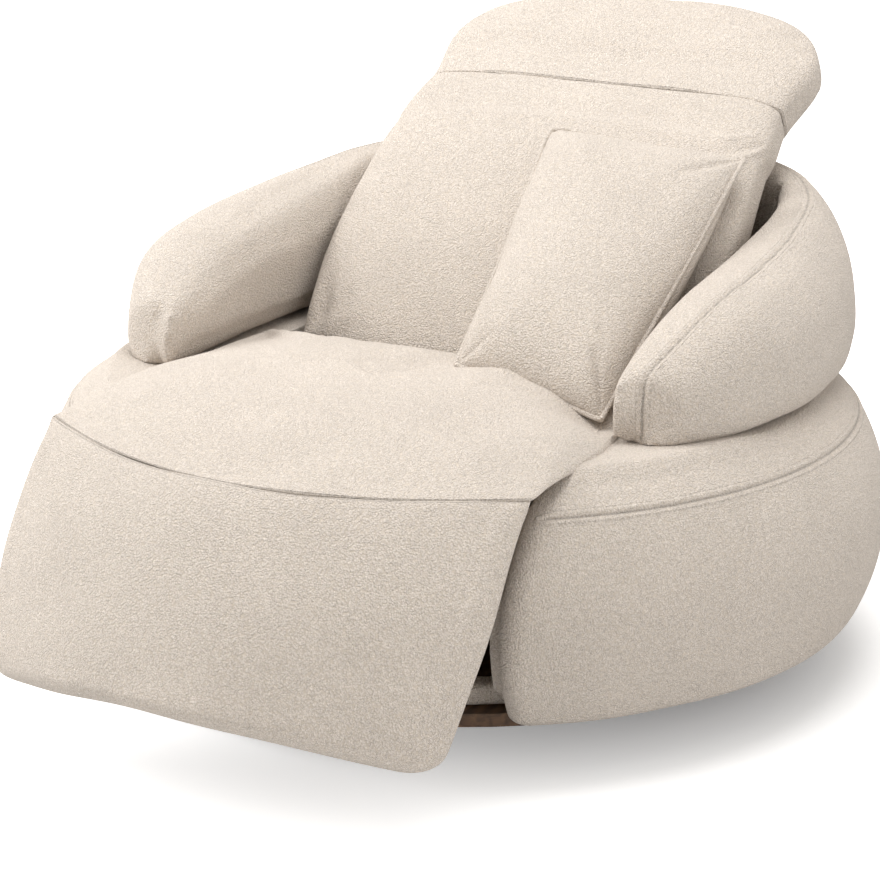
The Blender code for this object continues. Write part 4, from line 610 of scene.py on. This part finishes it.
def front_rail():
    """Padded rail along an arc under the opening, with rounded sections."""
    turn = math.asin(RAIL_END_HALF / RAIL_OUTER)
    angle = np.linspace(-turn, turn, 90)
    t = round_angles(32)
    c, d = (rounded(wave, 0.5) for wave in (np.cos(t), np.sin(t)))
    radius = RAIL_RADIUS + RAIL_HALF_WIDE * c
    x, y = radius * np.sin(angle)[:, None], -radius * np.cos(angle)[:, None]
    piece = closed_mesh("front_rail_cover", np.stack([x, y, RAIL_HEIGHT + RAIL_HALF_HIGH * d + 0 * x], -1))
    swell(piece, 0.0006, 0.08, 72)
    return cover(piece, "platform", "front_rail", fill=0.9)


# Tub of arms and back band
def tub_section(angle, t, fullness):
    """Leaning bean at each angle round the tub: a rounded section between the inner and outer foot lines.

    At a tip the inner half of the section runs further forward than the outer half, so the end face turns inwards.
    """
    degrees = np.degrees(angle)
    from_front = np.minimum(degrees, 180 - degrees)
    ahead = TUB_TIP_TURN * np.cos(t) * (1 - ease((from_front - TUB_NOSE) / 26))
    angle = np.radians(degrees + np.where(degrees < 90, ahead, -ahead))
    c, s = np.abs(np.cos(angle)), np.sin(angle)
    depth = np.where(s > 0, TUB_INSIDE_REAR, 0.60)
    n = TUB_SQUARENESS
    inner = ((c / TUB_INSIDE_HALF) ** n + (np.abs(s) / depth) ** n) ** (-1 / n)
    wide = smoothed(from_front, TUB_WIDTHS)
    outer = -TUB_CENTRE * s + np.sqrt(wide**2 - (TUB_CENTRE * np.cos(angle)) ** 2)
    low, high = DRUM_SHOULDER_HEIGHT + 0.001, smoothed(from_front, TUB_HEIGHTS)
    half = (outer - inner) / 2 * (0.80 + 0.20 * fullness)
    top = low + (high - low) * (0.85 + 0.15 * fullness)
    cos, sin = np.cos(t), np.sin(t)
    across = rounded(cos, np.where(sin < 0, 0.42, np.where(cos > 0, 0.80, 0.62))) * half
    up = rounded(sin, np.where(sin < 0, 0.50, np.where(cos > 0, 0.84, 0.62)))
    z = low + (top - low) * (0.5 + 0.5 * up)
    lean = TUB_LEAN * (1 - ease((from_front - 40) / 25))
    rho = (inner + outer) / 2 + across - lean * np.maximum((z - low) / 0.2, 0) ** 1.5
    return np.stack([rho * np.cos(angle), TUB_CENTRE + rho * np.sin(angle), z], -1)


def smoothed(degrees, values):
    """Height or width round the tub: straight between its stations, then averaged over 9 degrees each way."""
    spread = np.linspace(-9, 9, 13)
    return np.mean([np.interp(degrees + step, TUB_ANGLES, values) for step in spread], 0)


def tip_fullness(degrees):
    """How full the section is near a tip of the tub: a quarter round along the tub."""
    return quarter((np.minimum(degrees, 180 - degrees) - TUB_NOSE) / TUB_TIP_ROUND)


def arms_and_back_band():
    """The tub from tip to tip, blown up above its foot, with a seam along its outer edge and down the right tip."""
    near_tip = TUB_NOSE + TUB_TIP_ROUND * (1 - np.cos(np.linspace(0, math.pi / 2, 14)))
    middle = np.linspace(TUB_NOSE + TUB_TIP_ROUND, 180 - TUB_NOSE - TUB_TIP_ROUND, 200)[1:-1]
    degrees = np.concatenate([near_tip, middle, 180 - near_tip[::-1]])[:, None]
    tub = closed_mesh("arms_and_back_band", tub_section(np.radians(degrees), round_angles(72), tip_fullness(degrees)))
    remeshed(tub, 0.0075)
    points = coordinates(tub.data)
    inflate(tub, 1 - ease((points[:, 2] - 0.400) / 0.035), 3.0, 0.004, 14, stiffness=15.0)
    subdivided(tub)
    swell(tub, 0.0012, 0.19, 5)
    over = np.concatenate([
        np.linspace(TUB_NOSE, -20, 26), np.linspace(-20, 200, 190)[1:-1], np.linspace(200, 180 - TUB_NOSE, 26),
    ])
    top = tub_section(np.radians(over)[:, None], np.array([[TUB_SEAM]]), tip_fullness(over)[:, None])[:, 0]
    down = np.linspace(1, 0, 14)[1:, None]
    below_tip = top[:1] * [1, 1, 0]
    fall = (top[0, 2] - DRUM_SHOULDER_HEIGHT - 0.010) * down + DRUM_SHOULDER_HEIGHT + 0.010
    right = np.concatenate([(below_tip + fall * [0, 0, 1])[::-1], top[:150]])
    left = top[150:-60]
    sew(tub, nearest(coordinates(tub.data), right), 0.0026, 0.0034, 0.0012)
    sew(tub, nearest(coordinates(tub.data), left), 0.0010, 0.0030, 0.0004, 0.007)
    return cover(tub, "platform", "tub_pad", fill=0.85)


# Seat cushion
def seam_y(x):
    """Front seam of the seat, an arc across the width."""
    return SEAM_CORNER - SEAM_SAGITTA * (1 - (x / SEAM_HALF) ** 2)


def seat():
    """Two grids over the plan between the front seam's arc, the straight rear and the sides.

    The top rises in a quarter-round roll from its border and carries a crown across the width; the underside is flat.
    """
    u, v = np.meshgrid(bunched(112, 1.35), (bunched(104, 1.35) + 1) / 2)
    v_front = seam_y(SEAM_HALF * u)
    y = v_front + (SEAT_REAR - v_front) * v
    half = SEAM_HALF - (SEAM_HALF - SEAT_SIDE) * ease((y - SEAM_CORNER) / 0.10)
    half = half - (SEAT_SIDE - SEAT_BETWEEN_ARMS) * ease((y + 0.30) / 0.16)
    corner = np.clip((y - SEAT_REAR + 0.030) / 0.030, 0, 1)
    x = u * (half - 0.024 * (1 - np.sqrt(1 - corner**2)))
    from_side, from_seam, from_rear = (1 - np.abs(u)) * half, y - v_front, SEAT_REAR - y
    border = np.minimum(np.minimum(from_side, from_rear), from_seam)
    behind = ease(from_seam / 0.13)
    roll = quarter(border / SEAT_ROLL)
    across, ahead = np.abs(x) / SEAT_SIDE, np.clip((-0.18 - y) / 0.40, 0, 1)
    level = ease(border / 0.16)
    lip = SEAT_LIP_HEIGHT - 0.0022 * ease((0.05 - from_seam) / 0.04)
    crown = SEAT_CROWN * (1 - across**4) * (1 - ahead**2) * (0.35 + 0.65 * level) * roll
    top = lip + (0.006 + 0.016 * behind) * roll + crown
    low = lip - 0.0004 + (SEAT_UNDERSIDE - lip) * ease((border - 0.045) / 0.012) * ease((y + 0.480) / 0.035)
    low = np.where(border < 1e-9, lip, low)
    top = np.where(border < 1e-9, lip, top)
    cushion, _ = two_faced("seat_cushion_cover", np.stack([x, y, top], -1), np.stack([x, y, low], -1))
    points = coordinates(cushion.data)
    from_front = points[:, 1] - seam_y(np.clip(points[:, 0], -SEAM_HALF, SEAM_HALF))
    hold = np.maximum(1 - ease((points[:, 2] - 0.396) / 0.012), 1 - ease((from_front - 0.006) / 0.04))
    inflate(cushion, hold, 4.0, 0.012, 18, stiffness=10.0)
    subdivided(cushion)
    points = coordinates(cushion.data)
    top = ease((points[:, 2] - 0.400) / 0.015)
    away = points[:, :2] - TUFT
    tuft = np.hypot(away[:, 0], away[:, 1])
    around = np.arctan2(away[:, 1], away[:, 0])
    dip = 0.008 * near(tuft, 0, 0.055) + 0.002 * near(tuft, 0, 0.018)
    dip += 0.0048 * near(tuft, 0.062, 0.008) * near(np.abs(around + 1.9), 0, 1.0)
    dip += 0.0014 * np.cos(around * 4 + 0.6) * near(tuft, 0.045, 0.03)
    rear_pucker = 0.0014 * np.cos(points[:, 0] * 2 * math.pi / 0.055 + 1.1)
    rear_pucker = rear_pucker * near(points[:, 1], -0.055, 0.030) * near(points[:, 0], -0.20, 0.12)
    for corner, pressed in zip(PILLOW_CORNERS, (0.008, 0.024)):
        dip += pressed * near(np.hypot(points[:, 0] - corner[0], points[:, 1] - corner[1]), 0, 0.050)
    points[:, 2] -= (dip + rear_pucker + 0.006 * near(points[:, 1], -0.02, 0.07)) * top
    place(cushion.data, points)
    swell(cushion, 0.0012, 0.17, 11)
    sew(cushion, front_seam(), 0.0008, 0.0018, 0.0, 0.006)
    return cover(cushion, "carriage", "seat_cushion", fill=0.75)


def front_seam():
    x = SEAM_HALF * np.sin(np.linspace(-math.pi / 2, math.pi / 2, 90))
    return np.stack([x, seam_y(x), np.full(90, SEAM_HEIGHT)], -1)


# Footrest flap
def flap_half(v, depth):
    """Half-width down the flap: bulged between seam and lower edge, drawn in by the square of the depth."""
    half = SEAM_HALF + (FLAP_LOW_HALF - SEAM_HALF) * v**2.2
    return half + 0.008 * np.sin(math.pi * v) - 0.075 * (np.maximum(depth, 0) / FLAP_THICK) ** 2


def flap_point(share, v, depth):
    """Point of the flap: share -1 to 1 across, v from the seam to the lower edge, depth behind its face."""
    crown = 1 - share**2
    y0 = SEAM_CORNER - SEAM_SAGITTA * crown
    y1 = FLAP_LOW_Y - FLAP_LOW_SAGITTA * crown
    z1 = FLAP_LOW_Z + FLAP_LOW_RISE * crown
    lean = np.arctan2(y0 - y1, SEAM_HEIGHT - z1)
    inward = depth - FLAP_BULGE * np.sin(math.pi * np.clip(v, 0, 1) ** 0.75)
    y = y0 + (y1 - y0) * v + inward * np.cos(lean)
    z = SEAM_HEIGHT + (z1 - SEAM_HEIGHT) * v - inward * np.sin(lean)
    return np.stack(np.broadcast_arrays(flap_half(v, depth) * share, y, z), -1)


def room_for_lobes(points, spare=0.0015):
    """Moves points forward that would lie inside a lobe once the flap is closed.

    Each point is carried to its closed place and compared with the lobe's front there. The shift it needs is then
    turned back to the open place.
    """
    x, y, z = points.T
    bent = np.clip((FLAP_BEND_TOP - z) / (FLAP_BEND_TOP - FLAP_BEND_FOOT), 0, 1)
    turn = FLAP_CLOSED_TURN * bent
    from_y, from_z = y - FLAP_PIVOT[0], z - FLAP_PIVOT[1]
    closed_y = FLAP_PIVOT[0] + FLAP_CLOSED_SLIDE + from_y * np.cos(turn) - from_z * np.sin(turn)
    closed_z = FLAP_PIVOT[1] + from_y * np.sin(turn) + from_z * np.cos(turn)
    radius = drum_radius(np.clip(closed_z, DRUM_BOTTOM, DRUM_SEAM_HEIGHT))
    half = opening_half(closed_z)
    out = np.abs(x)
    centre = half + LOBE_EDGE
    edge = -np.sqrt((radius - LOBE_EDGE) ** 2 - centre**2)
    edge = edge - np.sqrt(np.clip(LOBE_EDGE**2 - (centre - out) ** 2, 0, None))
    front = np.where(out < centre * radius / (radius - LOBE_EDGE), edge, -np.sqrt(radius**2 - out**2))
    inside = (out > half) & (closed_z > DRUM_BOTTOM) & (closed_z < DRUM_SEAM_HEIGHT)
    push = np.where(inside, np.clip(closed_y - front + spare, 0, FLAP_CLOSED_PUSH), 0)
    return points + np.stack([0 * x, -push * np.cos(turn), push * np.sin(turn)], -1)


def footrest_flap():
    """One fabric piece from the seat's seam over the hinge down to the rounded lower edge."""
    turn = np.linspace(-math.pi / 2, math.pi / 2, 161)
    share = np.sin(turn)[:, None]
    edge = np.clip((1 - np.abs(share)) / 0.10, 0, 1)
    thick = FLAP_THICK * (0.14 + 0.86 * quarter(edge))
    mid = FLAP_THICK * (0.35 + 0.20 * edge)
    front, rear = mid - 0.55 * thick, mid + 0.45 * thick
    corner = FLAP_CORNER / FLAP_LOW_HALF
    into = np.clip((np.abs(share) - 1 + corner) / corner, 0, 1)
    drop = FLAP_CORNER / (SEAM_HEIGHT - FLAP_LOW_Z)
    low = 1 - 0.75 * drop * (1 - np.sqrt(1 - into**2))
    top_edge = np.concatenate([np.linspace(0, 0.03, 6)[:-1], np.linspace(0.03, 1.0, 54)])[None]
    front_start = front * ease(top_edge / 0.10)
    face = flap_point(share, top_edge * (low - 0.05), front_start)
    round_ = np.linspace(0, math.pi, 15)[None, 1:-1]
    ahead = np.where(np.cos(round_) > 0, mid - front, rear - mid)
    under = flap_point(share, low - 0.05 + 0.05 * np.sin(round_), mid - ahead * np.cos(round_))
    back_down = np.linspace(0, 1, 44)[None]
    back_face = flap_point(share, (low - 0.05) * (1 - back_down) + 0.13 * back_down, rear + 0 * back_down)
    x = (SEAM_HALF * share)[:, :, None]
    y = seam_y(SEAM_HALF * share)[:, :, None]
    full = np.minimum(1, thick / FLAP_THICK + 0.2)[:, :, None]
    over = np.array([
        [0.040, -0.036], [0.045, -0.022], [0.042, -0.010], [0.030, -0.005], [0.016, -0.0020], [0.006, -0.0008],
    ])[None]
    drawn_in = x - 0.6 * over[:, :, :1] * share[:, :, None]
    top = np.concatenate([drawn_in, y + over[:, :, :1] * full, SEAM_HEIGHT + over[:, :, 1:] * full], -1)
    flap = closed_mesh("footrest_flap", np.concatenate([face, under, back_face, top], 1), strip=True)
    points = coordinates(flap.data)
    inflate(flap, ease((points[:, 2] - 0.16) / 0.18), 3.0, 0.004, 14, stiffness=15.0)
    subdivided(flap)
    swell(flap, 0.0012, 0.18, 21)
    place(flap.data, room_for_lobes(coordinates(flap.data)))
    sew(flap, front_seam(), 0.0008, 0.0018, 0.0, 0.006)
    cover(flap, None, "footrest_pad", "footrest_knee", fill=0.85)
    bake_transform(flap)
    return flap


# Back and headrest
def back_line(a):
    """Front surface of the back: an arc whose lean grows evenly with the length along it."""
    rate = (BACK_LEAN_HIGH - BACK_LEAN_LOW) / BACK_LENGTH
    lean = BACK_LEAN_LOW + rate * a
    y = BACK_FOOT[0] + (math.cos(BACK_LEAN_LOW) - np.cos(lean)) / rate
    z = BACK_FOOT[1] + (np.sin(lean) - math.sin(BACK_LEAN_LOW)) / rate
    return y, z, lean


def head_line(b):
    """Front surface of the headrest: it goes on from the back and turns slowly upright."""
    y0, z0, lean0 = back_line(BACK_LENGTH)
    rate = (HEAD_LEAN - lean0) / HEAD_LENGTH
    lean = lean0 + rate * b
    return y0 + (math.cos(lean0) - np.cos(lean)) / rate, z0 + (np.sin(lean) - math.sin(lean0)) / rate, lean


def slab(line, a, half, face, rear, squareness):
    """Rounded sections across a slab at lengths a, between two depths behind its front line."""
    y, z, lean = (value[:, None] for value in line(a))
    half, face, rear = half[:, None], face[:, None], rear[:, None]
    t = round_angles(128)
    x = half * rounded(np.cos(t), 2 / squareness)
    depth = (face + rear) / 2 + (rear - face) / 2 * rounded(np.sin(t), 2 / squareness)
    return np.stack(np.broadcast_arrays(x, y + depth * np.cos(lean), z - depth * np.sin(lean)), -1)


def back_half(a):
    """Half-width of the back: narrow at its foot between the hinge arms, fullest at mid height."""
    share = np.clip(a / BACK_LENGTH, 0, 1)
    half = BACK_HALF_LOW + (BACK_HALF_HIGH - BACK_HALF_LOW) * share + BACK_BULGE * np.sin(math.pi * share)
    return half - 0.030 * ease((0.055 - a) / 0.030)


def back_depth(a):
    return BACK_THICK_LOW - (BACK_THICK_LOW - BACK_THICK_HIGH) * ease((a - 0.34) / (BACK_LENGTH - 0.34))


def seam_end(a, last):
    """How far a section is drawn in near the seam: a quarter round of 5 mm."""
    return 1 - quarter((np.abs(last - a) - 0.0004) / 0.0050)


def seamed_cushion(name, rings, cap, frames, stiffness):
    """Cushion through its rings, blown up everywhere but near the seam between back and headrest."""
    piece = closed_mesh(name, rings)
    from_seam = distance_to(coordinates(piece.data), back_seam())
    inflate(piece, 1 - ease((from_seam - 0.010) / 0.11), 4.0, cap, frames, stiffness)
    subdivided(piece)
    return piece


def back():
    """Back cushion: round at its foot, fuller behind near the top, drawn in at the seam."""
    a = np.concatenate([
        np.linspace(0, 0.06, 14), np.linspace(0.06, BACK_LENGTH - 0.006, 72)[1:],
        BACK_LENGTH - np.array(SEAM_STEPS[::-1]),
    ])
    full = quarter(a / 0.045) * 0.75 + 0.25
    squeeze = seam_end(a, BACK_LENGTH) * 0.003
    depth = back_depth(a)
    face = depth * 0.5 * (1 - full) + squeeze
    rear = depth * 0.5 * (1 + full) + 0.014 * ease((a - 0.38) / 0.14)
    half = back_half(a) * (0.93 + 0.07 * full) - 0.2 * squeeze
    piece = seamed_cushion("back_cushion_cover", slab(back_line, a, half, face, rear, 4.6), 0.007, 18, 12.0)
    points = coordinates(piece.data)
    low_corner = near(np.abs(points[:, 0]), 0.27, 0.05) * near(points[:, 2], 0.435, 0.035)
    points[:, 1] += 0.004 * np.cos(points[:, 0] * 2 * math.pi / 0.045) * low_corner
    place(piece.data, points)
    swell(piece, 0.0015, 0.19, 31)
    sew(piece, back_seam(), 0.0010, 0.0020, 0.0, 0.006)
    return cover(piece, "back", "back_cushion", fill=0.75)


def back_seam():
    """Line across the front where back and headrest are sewn together, round both sides."""
    y, z, lean = back_line(BACK_LENGTH)
    depth = np.concatenate([np.linspace(0.070, 0.004, 12), np.zeros(40), np.linspace(0.004, 0.070, 12)])
    x = np.concatenate([np.full(12, -1.0), np.linspace(-0.98, 0.98, 40), np.full(12, 1.0)]) * BACK_HALF_HIGH
    return np.stack([x, y + depth * math.cos(lean), z - depth * math.sin(lean)], -1)


def headrest():
    """Headrest: even up to its top, where width and thickness run out in a curve."""
    b = np.concatenate([
        SEAM_STEPS, np.linspace(0.006, 0.170, 28), 0.170 + 0.0605 * np.sin(np.linspace(0, math.pi / 2, 18))[1:],
    ])
    squeeze = seam_end(b, 0.0) * 0.003
    share = np.maximum(0.0, (b - 0.055) / (HEAD_LENGTH - 0.055))
    half = (BACK_HALF_HIGH + 0.016 * ease(b / 0.120)) * np.maximum(1 - share**3.0, 0) ** 0.40
    full = np.sqrt(np.clip(1 - np.clip((b - 0.155) / 0.078, 0, 1) ** 2, 0.02, 1))
    face = BACK_THICK_HIGH * 0.5 * (1 - full) + squeeze
    rear = BACK_THICK_HIGH * 0.5 * (1 + full) + 0.014 * full
    rings = slab(head_line, b, half - 0.2 * squeeze, face, rear, 4.6)
    piece = seamed_cushion("headrest_cover", rings, 0.005, 14, 14.0)
    swell(piece, 0.0013, 0.17, 41)
    sew(piece, back_seam(), 0.0010, 0.0020, 0.0, 0.006)
    cover(piece, None, "headrest_cushion", fill=0.75)
    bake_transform(piece)
    return piece


def back_rear_cover():
    """Thin upholstered panel over the board: rounded sections that thin out at its top and foot."""
    a = PANEL_LOW + (PANEL_HIGH - PANEL_LOW) * eased_steps(70)
    full = 0.25 + 0.75 * quarter(np.minimum(a - PANEL_LOW, PANEL_HIGH - a) / 0.014)
    face = back_depth(a) + PANEL_BEHIND
    rings = slab(back_line, a, PANEL_HALF - 0.010 * (1 - full), face, face + PANEL_THICK * full, 5.0)
    piece = closed_mesh("back_rear_panel", rings)
    swell(piece, 0.0006, 0.15, 51)
    return cover(piece, "back", "back_rear_cover", fill=0.9)


# Loose pillow
def pillow():
    """Two panels sewn at their edges, over the patch between its four corners, with drawn-in sides.

    A panel stands off the patch by a superellipse of the distance to its sides; the welt sits a little forward.
    """
    u, v = np.meshgrid(bunched(66), bunched(100))
    corner = np.maximum(0, np.abs(u * v) - 0.80) / 0.20
    pull = 1 - np.where((u < 0) & (v > 0), 0.034, 0.012) * corner**2
    s = (1 + u * (1 - np.where(u > 0, -0.02, 0.045) * (1 - v * v)) * pull) / 2
    t = (1 + v * (1 - 0.030 * (1 - u * u)) * pull) / 2
    low_left, low_right, high_right, high_left = (np.array(c) for c in PILLOW_CORNERS)
    s3, t3 = s[:, :, None], t[:, :, None]
    patch = (1 - t3) * ((1 - s3) * low_left + s3 * low_right) + t3 * ((1 - s3) * high_left + s3 * high_right)
    out = np.cross(high_right - low_left, high_left - low_right)
    out /= np.linalg.norm(out)
    sideways = (high_right - high_left) / np.linalg.norm(high_right - high_left)
    height = PILLOW_HALF_THICK * (1 - 0.12 * v) * ((1 - np.abs(u) ** 2.8) * (1 - np.abs(v) ** 2.8)) ** 0.5
    rim = 0.010 * np.maximum(u, 0) ** 4 * (1 - v**6)
    front = patch + out * (height + rim)[:, :, None]
    bulge = 0.012 * near(u, 0.88, 0.16) * (1 - v**4) * (np.abs(u) < 1)
    rear = patch + out * (rim - 1.12 * height)[:, :, None] + sideways * bulge[:, :, None]
    piece, grid = two_faced("lumbar_pillow_cover", front, rear)
    rim_line = np.concatenate([grid[0, :-1], grid[:-1, -1], grid[-1, :0:-1], grid[:0:-1, 0]])
    hold = np.zeros(len(piece.data.vertices))
    hold[rim_line] = 1.0
    inflate(piece, hold, 6.0, 0.016, 18, stiffness=8.0, bending=0.5)
    welt_path = coordinates(piece.data)[rim_line]
    subdivided(piece)
    swell(piece, 0.0016, 0.13, 61)
    sew(piece, np.concatenate([welt_path, welt_path[:1]]), 0.0006, 0.0035, 0.0, 0.006)
    cover(piece, "pillow", "lumbar_pillow", fill=0.7)
    welt = tube("lumbar_pillow_welt", welt_path, WELT_RADIUS)
    dress(welt, BOUCLE)
    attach(welt, "pillow")
    return piece


def tube(name, path, radius, sides=10):
    """Round tube along a closed path: circles in the plane of the path's normal and the way to its middle."""
    for _ in range(3):
        path = (np.roll(path, 1, 0) + 2 * path + np.roll(path, -1, 0)) / 4
    along = np.roll(path, -1, 0) - np.roll(path, 1, 0)
    along /= np.linalg.norm(along, axis=1, keepdims=True)
    outward = path - path.mean(0)
    side = np.cross(along, outward)
    side /= np.linalg.norm(side, axis=1, keepdims=True)
    other = np.cross(side, along)
    a = 2 * math.pi * np.arange(sides) / sides
    cos, sin = np.cos(a)[None, :, None], np.sin(a)[None, :, None]
    rings = path[:, None] + radius * (cos * side[:, None] + sin * other[:, None])
    count = len(path)
    here = np.arange(count)[:, None] * sides
    beyond = (np.arange(count)[:, None] + 1) % count * sides
    k = np.arange(sides)[None]
    after = (k + 1) % sides
    faces = np.stack([here + k, here + after, beyond + after, beyond + k], -1).reshape(-1, 4)
    return mesh_object(name, rings.reshape(-1, 3), faces.tolist())


# Studio
def aimed(obj, way):
    """Turns a camera or lamp to look along a direction, with its own Y upwards."""
    obj.rotation_mode = "QUATERNION"
    obj.rotation_quaternion = way.to_track_quat("-Z", "Y")


def camera():
    scene = bpy.context.scene
    level = math.cos(CAMERA_RISE)
    away = Vector((math.sin(CAMERA_TURN) * level, -math.cos(CAMERA_TURN) * level, math.sin(CAMERA_RISE)))
    data = bpy.data.cameras.new("camera")
    data.lens, data.sensor_width = FOCAL_PIXELS / PICTURE_PIXELS * SENSOR_WIDTH, SENSOR_WIDTH
    viewer = bpy.data.objects.new("camera", data)
    viewer.location = Vector(CAMERA_AIM) + away * CAMERA_AWAY
    aimed(viewer, -away)
    scene.collection.objects.link(viewer)
    scene.camera = viewer


def floor():
    """White ground with a soft shadow from the lamps. To the camera it glows up to white with the distance from a
    point beside the object, and the weak glow near that point is a painted shadow.
    """
    mesh = bpy.data.meshes.new("floor")
    corners = [(x * FLOOR_HALF, y * FLOOR_HALF, 0) for x, y in ((-1, -1), (1, -1), (1, 1), (-1, 1))]
    mesh.from_pydata(corners, [], [(0, 1, 2, 3)])
    ground = bpy.data.objects.new("floor", mesh)
    bpy.context.scene.collection.objects.link(ground)
    mat, tree, shader, where = new_material("floor")
    seen = node(tree, "ShaderNodeLightPath").outputs["Is Camera Ray"]
    offset = node(tree, "ShaderNodeVectorMath", {0: where, 1: PAINTED_SHADOW_CENTRE}, operation="SUBTRACT").outputs["Vector"]
    reach = node(tree, "ShaderNodeVectorMath", {0: offset}, operation="LENGTH").outputs["Value"]
    wire(tree, shader, {
        "Base Color": blended(tree, seen, (0.78, 0.78, 0.78, 1), (0.95, 0.95, 0.95, 1)),
        "Emission Color": WHITE,
        # Weak glow near the centre point paints a shadow there, on top of the shadow the lamps cast
        "Emission Strength": maths(tree, "MULTIPLY", span(tree, reach, PAINTED_SHADOW_REACH, PAINTED_SHADOW_GLOW), seen),
        "Roughness": 0.9, "Specular IOR Level": 0.0,
    })
    dress(ground, mat)


def surroundings():
    """Even white all round: at full strength for camera and reflections, weaker and warmer as light."""
    world = bpy.data.worlds.new("studio")
    bpy.context.scene.world = world
    world.use_nodes = True
    tree = world.node_tree
    path = node(tree, "ShaderNodeLightPath")
    either = maths(tree, "MAXIMUM", path.outputs["Is Camera Ray"], path.outputs["Is Glossy Ray"])
    wire(tree, tree.nodes["Background"], {
        "Color": blended(tree, either, AMBIENT_TONE, WHITE),
        "Strength": span(tree, either, (0.0, 1.0), (AMBIENT, 1.0)),
    })


def lamps():
    for name, spot, aim, width, power in LAMPS:
        lamp = bpy.data.lights.new(name, "AREA")
        lamp.shape, lamp.size, lamp.energy = "DISK", width, power
        light = bpy.data.objects.new(name, lamp)
        light.location = spot
        aimed(light, Vector(aim) - Vector(spot))
        bpy.context.scene.collection.objects.link(light)


def studio():
    bpy.context.scene.view_settings.view_transform = "Standard"
    camera()
    floor()
    surroundings()
    lamps()


def dress_nodes():
    """Gives every CAD node the procedural finish of its slot."""
    for part in frame["record"]["subparts"]:
        dress(NODES[part["node"]], SLOT_MATERIALS[part["material_slot"]])


dress_nodes()
base_drum()
inner_post(1, "inner_post_left")
inner_post(-1, "inner_post_right")
front_rail()
arms_and_back_band()
seat()
footrest_flap()
back()
back_rear_cover()
headrest()
pillow()
studio()
